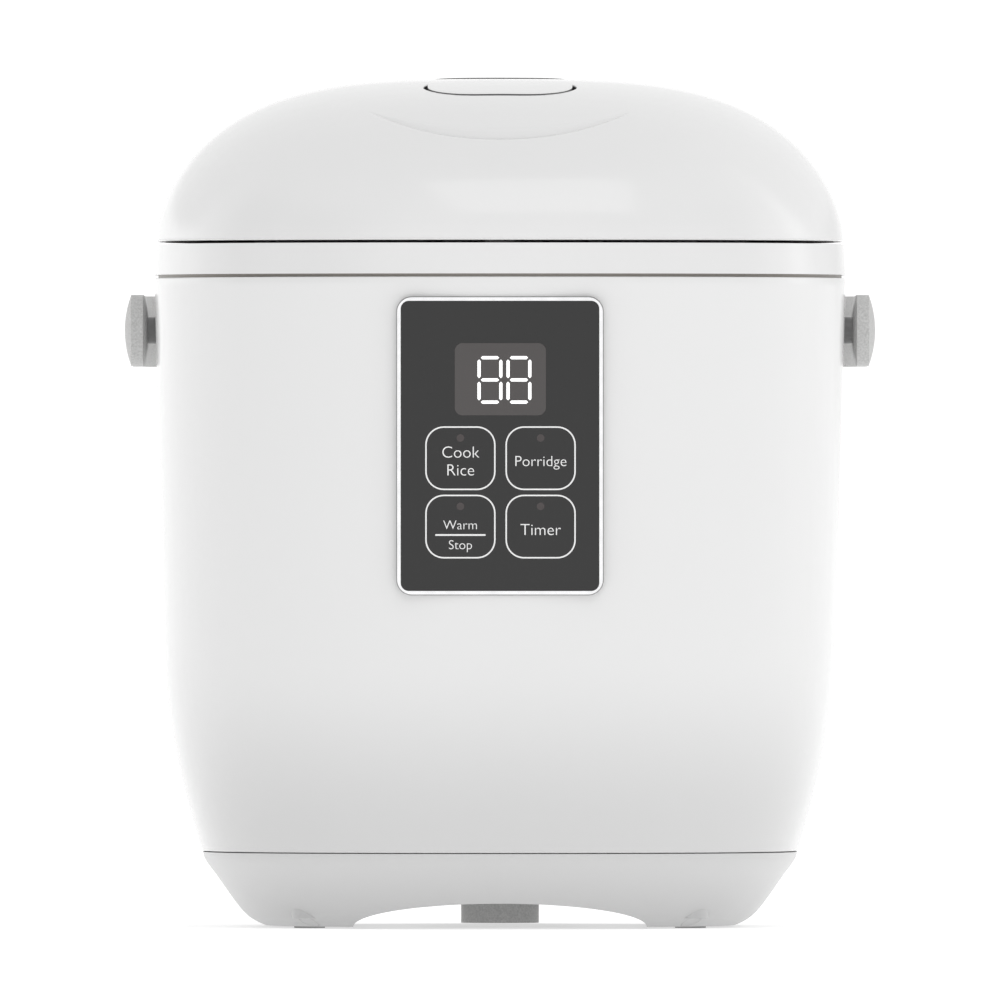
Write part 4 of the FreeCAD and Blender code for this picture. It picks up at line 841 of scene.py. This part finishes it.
KEY_W, KEY_H, KEY_R, KEY_LINE = 20.5 * MM, 18.6 * MM, 5.4 * MM, 0.42 * MM
KEY_X = (-11.55 * MM, 11.85 * MM)
KEY_Y = (-3.6 * MM, -23.55 * MM)
key_parts = [prism([round_rect(x, y, KEY_W, KEY_H, KEY_R),
                    round_rect(x, y, KEY_W - 2 * KEY_LINE, KEY_H - 2 * KEY_LINE, KEY_R - KEY_LINE)],
                   PANEL_FACE, PANEL_FACE + MARK) for x in KEY_X for y in KEY_Y]
DIVIDER_W, DIVIDER_H, DIVIDER_Y = 14.7 * MM, 0.5 * MM, -26.0 * MM
key_parts.append(prism([round_rect(KEY_X[0], DIVIDER_Y, DIVIDER_W, DIVIDER_H, 0.2 * MM)],
                       PANEL_FACE, PANEL_FACE + MARK))
install(on_panel(join_parts("key_outlines", key_parts, PRINT_PAINTED_GLOW)), "cooker")

BEZEL_W, BEZEL_H, BEZEL_R, BEZEL_SHADOW_WIDTH = 60 * MM, 86.7 * MM, 4.3 * MM, 0.28 * MM
# A thin dark ring round the bezel, through the shell's surface: painted shadow of the gap at the bezel's edge.
bezel_shadow_ring = join_parts("bezel_shadow_ring", [prism(
    [round_rect(0, 0, BEZEL_W + 2 * BEZEL_SHADOW_WIDTH, BEZEL_H + 2 * BEZEL_SHADOW_WIDTH, BEZEL_R + BEZEL_SHADOW_WIDTH),
     round_rect(0, 0, BEZEL_W, BEZEL_H, BEZEL_R)], -1.8 * MM, 0.45 * MM)], BEZEL_SHADOW_METAL)
install(on_panel(bezel_shadow_ring), "cooker")

LAMP_R, LAMP_RISE = 1.1 * MM, 5.9 * MM
LAMP_STEPS = 40


def lamp_outline(x, y):
    turns = [2 * math.pi * k / LAMP_STEPS for k in range(LAMP_STEPS)]
    return [(x + LAMP_R * math.cos(a), y + LAMP_RISE + LAMP_R * math.sin(a)) for a in turns]


lamp_parts = [prism([lamp_outline(x, y)], PANEL_FACE, PANEL_FACE + 0.03 * MM) for x in KEY_X for y in KEY_Y]
install(on_panel(join_parts("lamp_windows", lamp_parts, LAMP)), "cooker")


CAPITAL_SHARE = 0.7    # height of a capital as a share of the font size


def label(name, text, x, y, height):
    """One line of printed lettering, centred, with its capitals this tall."""
    curve = bpy.data.curves.new(name, "FONT")
    curve.body = text
    curve.size = height / CAPITAL_SHARE
    curve.align_x = "CENTER"
    curve.align_y = "CENTER"
    curve.extrude = MARK / 2
    curve.resolution_u = 6
    curve.offset = -0.012 * curve.size
    text_object = bpy.data.objects.new(name + "_font", curve)
    bpy.context.scene.collection.objects.link(text_object)
    bpy.context.view_layer.update()
    mesh = bpy.data.meshes.new_from_object(text_object)
    bpy.data.objects.remove(text_object)
    piece = bpy.data.objects.new(name, mesh)
    bpy.context.scene.collection.objects.link(piece)
    mesh.materials.clear()
    mesh.materials.append(PRINT_PAINTED_GLOW)
    mesh.transform(Matrix.Translation((x, y, PANEL_FACE + MARK / 2)))
    return install(on_panel(piece), "cooker")


LABELS = (
    ("label_cook_upper", "Cook", KEY_X[0], -2.0, 3.4), ("label_cook_lower", "Rice", KEY_X[0], -7.2, 3.4),
    ("label_soup", "Porridge", KEY_X[1], -4.6, 3.1), ("label_warm", "Warm", KEY_X[0], -23.2, 2.7),
    ("label_stop", "Stop", KEY_X[0], -29.0, 2.7), ("label_timer", "Timer", KEY_X[1], -24.6, 3.4))
for name, text, x, y, height in LABELS:
    label(name, text, x, y * MM, height * MM)

# ---------------------------------------------------------------- edges of the CAD pieces
for name, width in (("control_bezel", 0.25), ("carry_handle", 0.7), ("power_inlet", 0.5),
                    ("control_panel", 0.1), ("display_window", 0.08), ("handle_pivots", 0.3),
                    ("inner_pot", 0.4)):
    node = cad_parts[name]
    bevel = node.modifiers.new("soft_edges", "BEVEL")
    bevel.width = width * MM
    bevel.segments = 3
    bevel.limit_method = "ANGLE"
    bevel.angle_limit = math.radians(35)
    node.data.shade_smooth()
    weighted = node.modifiers.new("even_normals", "WEIGHTED_NORMAL")
    weighted.keep_sharp = True

# ---------------------------------------------------------------- floor, light and camera
FLOOR_HALF = 30.0


def stage_plane(name, half, material):
    floor = mesh_object(name, [(-half, -half, 0), (half, -half, 0), (half, half, 0), (-half, half, 0)],
                        [(0, 1, 2, 3)], material, smooth=False)


floor_material, floor_tree, floor_shader = shader("pale_floor", grey(0.82), 0.9)
tint(floor_tree, noise(floor_tree, 3, 2), grey(0.81), grey(0.83), floor_shader.inputs["Base Color"])
floor_shader.inputs["Specular IOR Level"].default_value = 0.0
floor_shader.inputs["Emission Color"].default_value = (1, 1, 1, 1)
floor_shader.inputs["Emission Strength"].default_value = 0.42
stage_plane("floor", FLOOR_HALF, floor_material)

# Brightness of the studio round the object: angle from the camera's side (positive to the
# object's +X side, as a share of half a turn) and level.
SURROUND = ((-1.0, 1.12), (-0.72, 1.4), (-0.60, 0.95), (-0.50, 0.40), (-0.25, 0.28), (0.0, 1.0),
            (0.22, 0.66), (0.44, 0.50), (0.58, 1.05), (0.66, 1.6), (0.76, 0.95), (0.88, 0.80), (1.0, 1.12))
OVERHEAD = 0.95
BACKDROP_REACH = 5.0     # how much sooner the ceiling level is met behind the object
BRIGHTEST = 2.0
CEILING_FROM, CEILING_TO = 0.35, 0.85    # where the surround turns into the ceiling, and how far behind
MIX_FACTOR, MIX_A, MIX_B, MIX_RESULT = 0, 6, 7, 2    # the colour sockets of a Mix node


def studio_world():
    """Soft surroundings: panels of light to the sides and behind, dimmer flanks, an even ceiling."""
    world = bpy.data.worlds.new("studio")
    bpy.context.scene.world = world
    world.use_nodes = True
    tree = world.node_tree
    background = tree.nodes["Background"]
    place = tree.nodes.new("ShaderNodeTexCoord")
    split = tree.nodes.new("ShaderNodeSeparateXYZ")
    tree.links.new(place.outputs["Generated"], split.inputs["Vector"])
    flip = tree.nodes.new("ShaderNodeMath")
    flip.operation = "MULTIPLY"
    flip.inputs[1].default_value = -1
    tree.links.new(split.outputs["Y"], flip.inputs[0])
    turn = tree.nodes.new("ShaderNodeMath")
    turn.operation = "ARCTAN2"
    tree.links.new(split.outputs["X"], turn.inputs[0])
    tree.links.new(flip.outputs["Value"], turn.inputs[1])
    share = tree.nodes.new("ShaderNodeMapRange")
    share.inputs["From Min"].default_value = -math.pi
    share.inputs["From Max"].default_value = math.pi
    tree.links.new(turn.outputs["Value"], share.inputs["Value"])
    ramp = tree.nodes.new("ShaderNodeValToRGB")
    ramp.color_ramp.interpolation = "EASE"
    elements = ramp.color_ramp.elements
    elements[0].position, elements[0].color = 0.0, (*grey(SURROUND[0][1] / BRIGHTEST), 1)
    elements[1].position, elements[1].color = 1.0, (*grey(SURROUND[-1][1] / BRIGHTEST), 1)
    for angle, level in SURROUND[1:-1]:
        elements.new((angle + 1) / 2).color = (*grey(level / BRIGHTEST), 1)
    tree.links.new(share.outputs["Result"], ramp.inputs["Fac"])
    height = tree.nodes.new("ShaderNodeMapRange")
    rear = tree.nodes.new("ShaderNodeMapRange")
    for step in (height, rear):
        step.interpolation_type = "SMOOTHSTEP"
        step.inputs["From Min"].default_value = CEILING_FROM
        step.inputs["From Max"].default_value = CEILING_TO
    rear.inputs["To Min"].default_value = 1.0
    rear.inputs["To Max"].default_value = BACKDROP_REACH
    tree.links.new(split.outputs["Y"], rear.inputs["Value"])
    reach = tree.nodes.new("ShaderNodeMath")
    reach.operation = "MULTIPLY"
    tree.links.new(split.outputs["Z"], reach.inputs[0])
    tree.links.new(rear.outputs["Result"], reach.inputs[1])
    tree.links.new(reach.outputs["Value"], height.inputs["Value"])
    blend = tree.nodes.new("ShaderNodeMix")
    blend.data_type = "RGBA"
    blend.inputs[MIX_B].default_value = (*grey(OVERHEAD / BRIGHTEST), 1)
    tree.links.new(height.outputs["Result"], blend.inputs[MIX_FACTOR])
    tree.links.new(ramp.outputs["Color"], blend.inputs[MIX_A])
    tree.links.new(blend.outputs[MIX_RESULT], background.inputs["Color"])
    background.inputs["Strength"].default_value = BRIGHTEST


studio_world()


def area_light(name, at, target, size, power):
    light = bpy.data.lights.new(name, "AREA")
    light.shape = "RECTANGLE"
    light.size, light.size_y = size
    light.energy = power
    lamp = bpy.data.objects.new(name, light)
    bpy.context.scene.collection.objects.link(lamp)
    lamp.location = at
    lamp.rotation_euler = (Vector(target) - Vector(at)).to_track_quat("-Z", "Y").to_euler()


area_light("key_box", (0.25, -1.1, 1.5), (0, 0, 0.12), (0.9, 0.9), 2.4)
bpy.context.scene.view_settings.view_transform = "Standard"

LENS = 1500.0
SENSOR = 36.0
VIEW_WIDTH = 292.91 * MM
VIEW_CENTRE_Z = 125.5 * MM
VIEW_PLANE_Y = -60 * MM    # the view is VIEW_WIDTH wide at this depth
camera_data = bpy.data.cameras.new("camera")
camera_data.lens = LENS
camera_data.sensor_width = SENSOR
camera_data.clip_start = 0.1
camera_data.clip_end = 100
camera = bpy.data.objects.new("camera", camera_data)
bpy.context.scene.collection.objects.link(camera)
camera.location = (0, VIEW_PLANE_Y - VIEW_WIDTH * LENS / SENSOR, VIEW_CENTRE_Z)
camera.rotation_euler = (math.radians(90), 0, 0)
bpy.context.scene.camera = camera
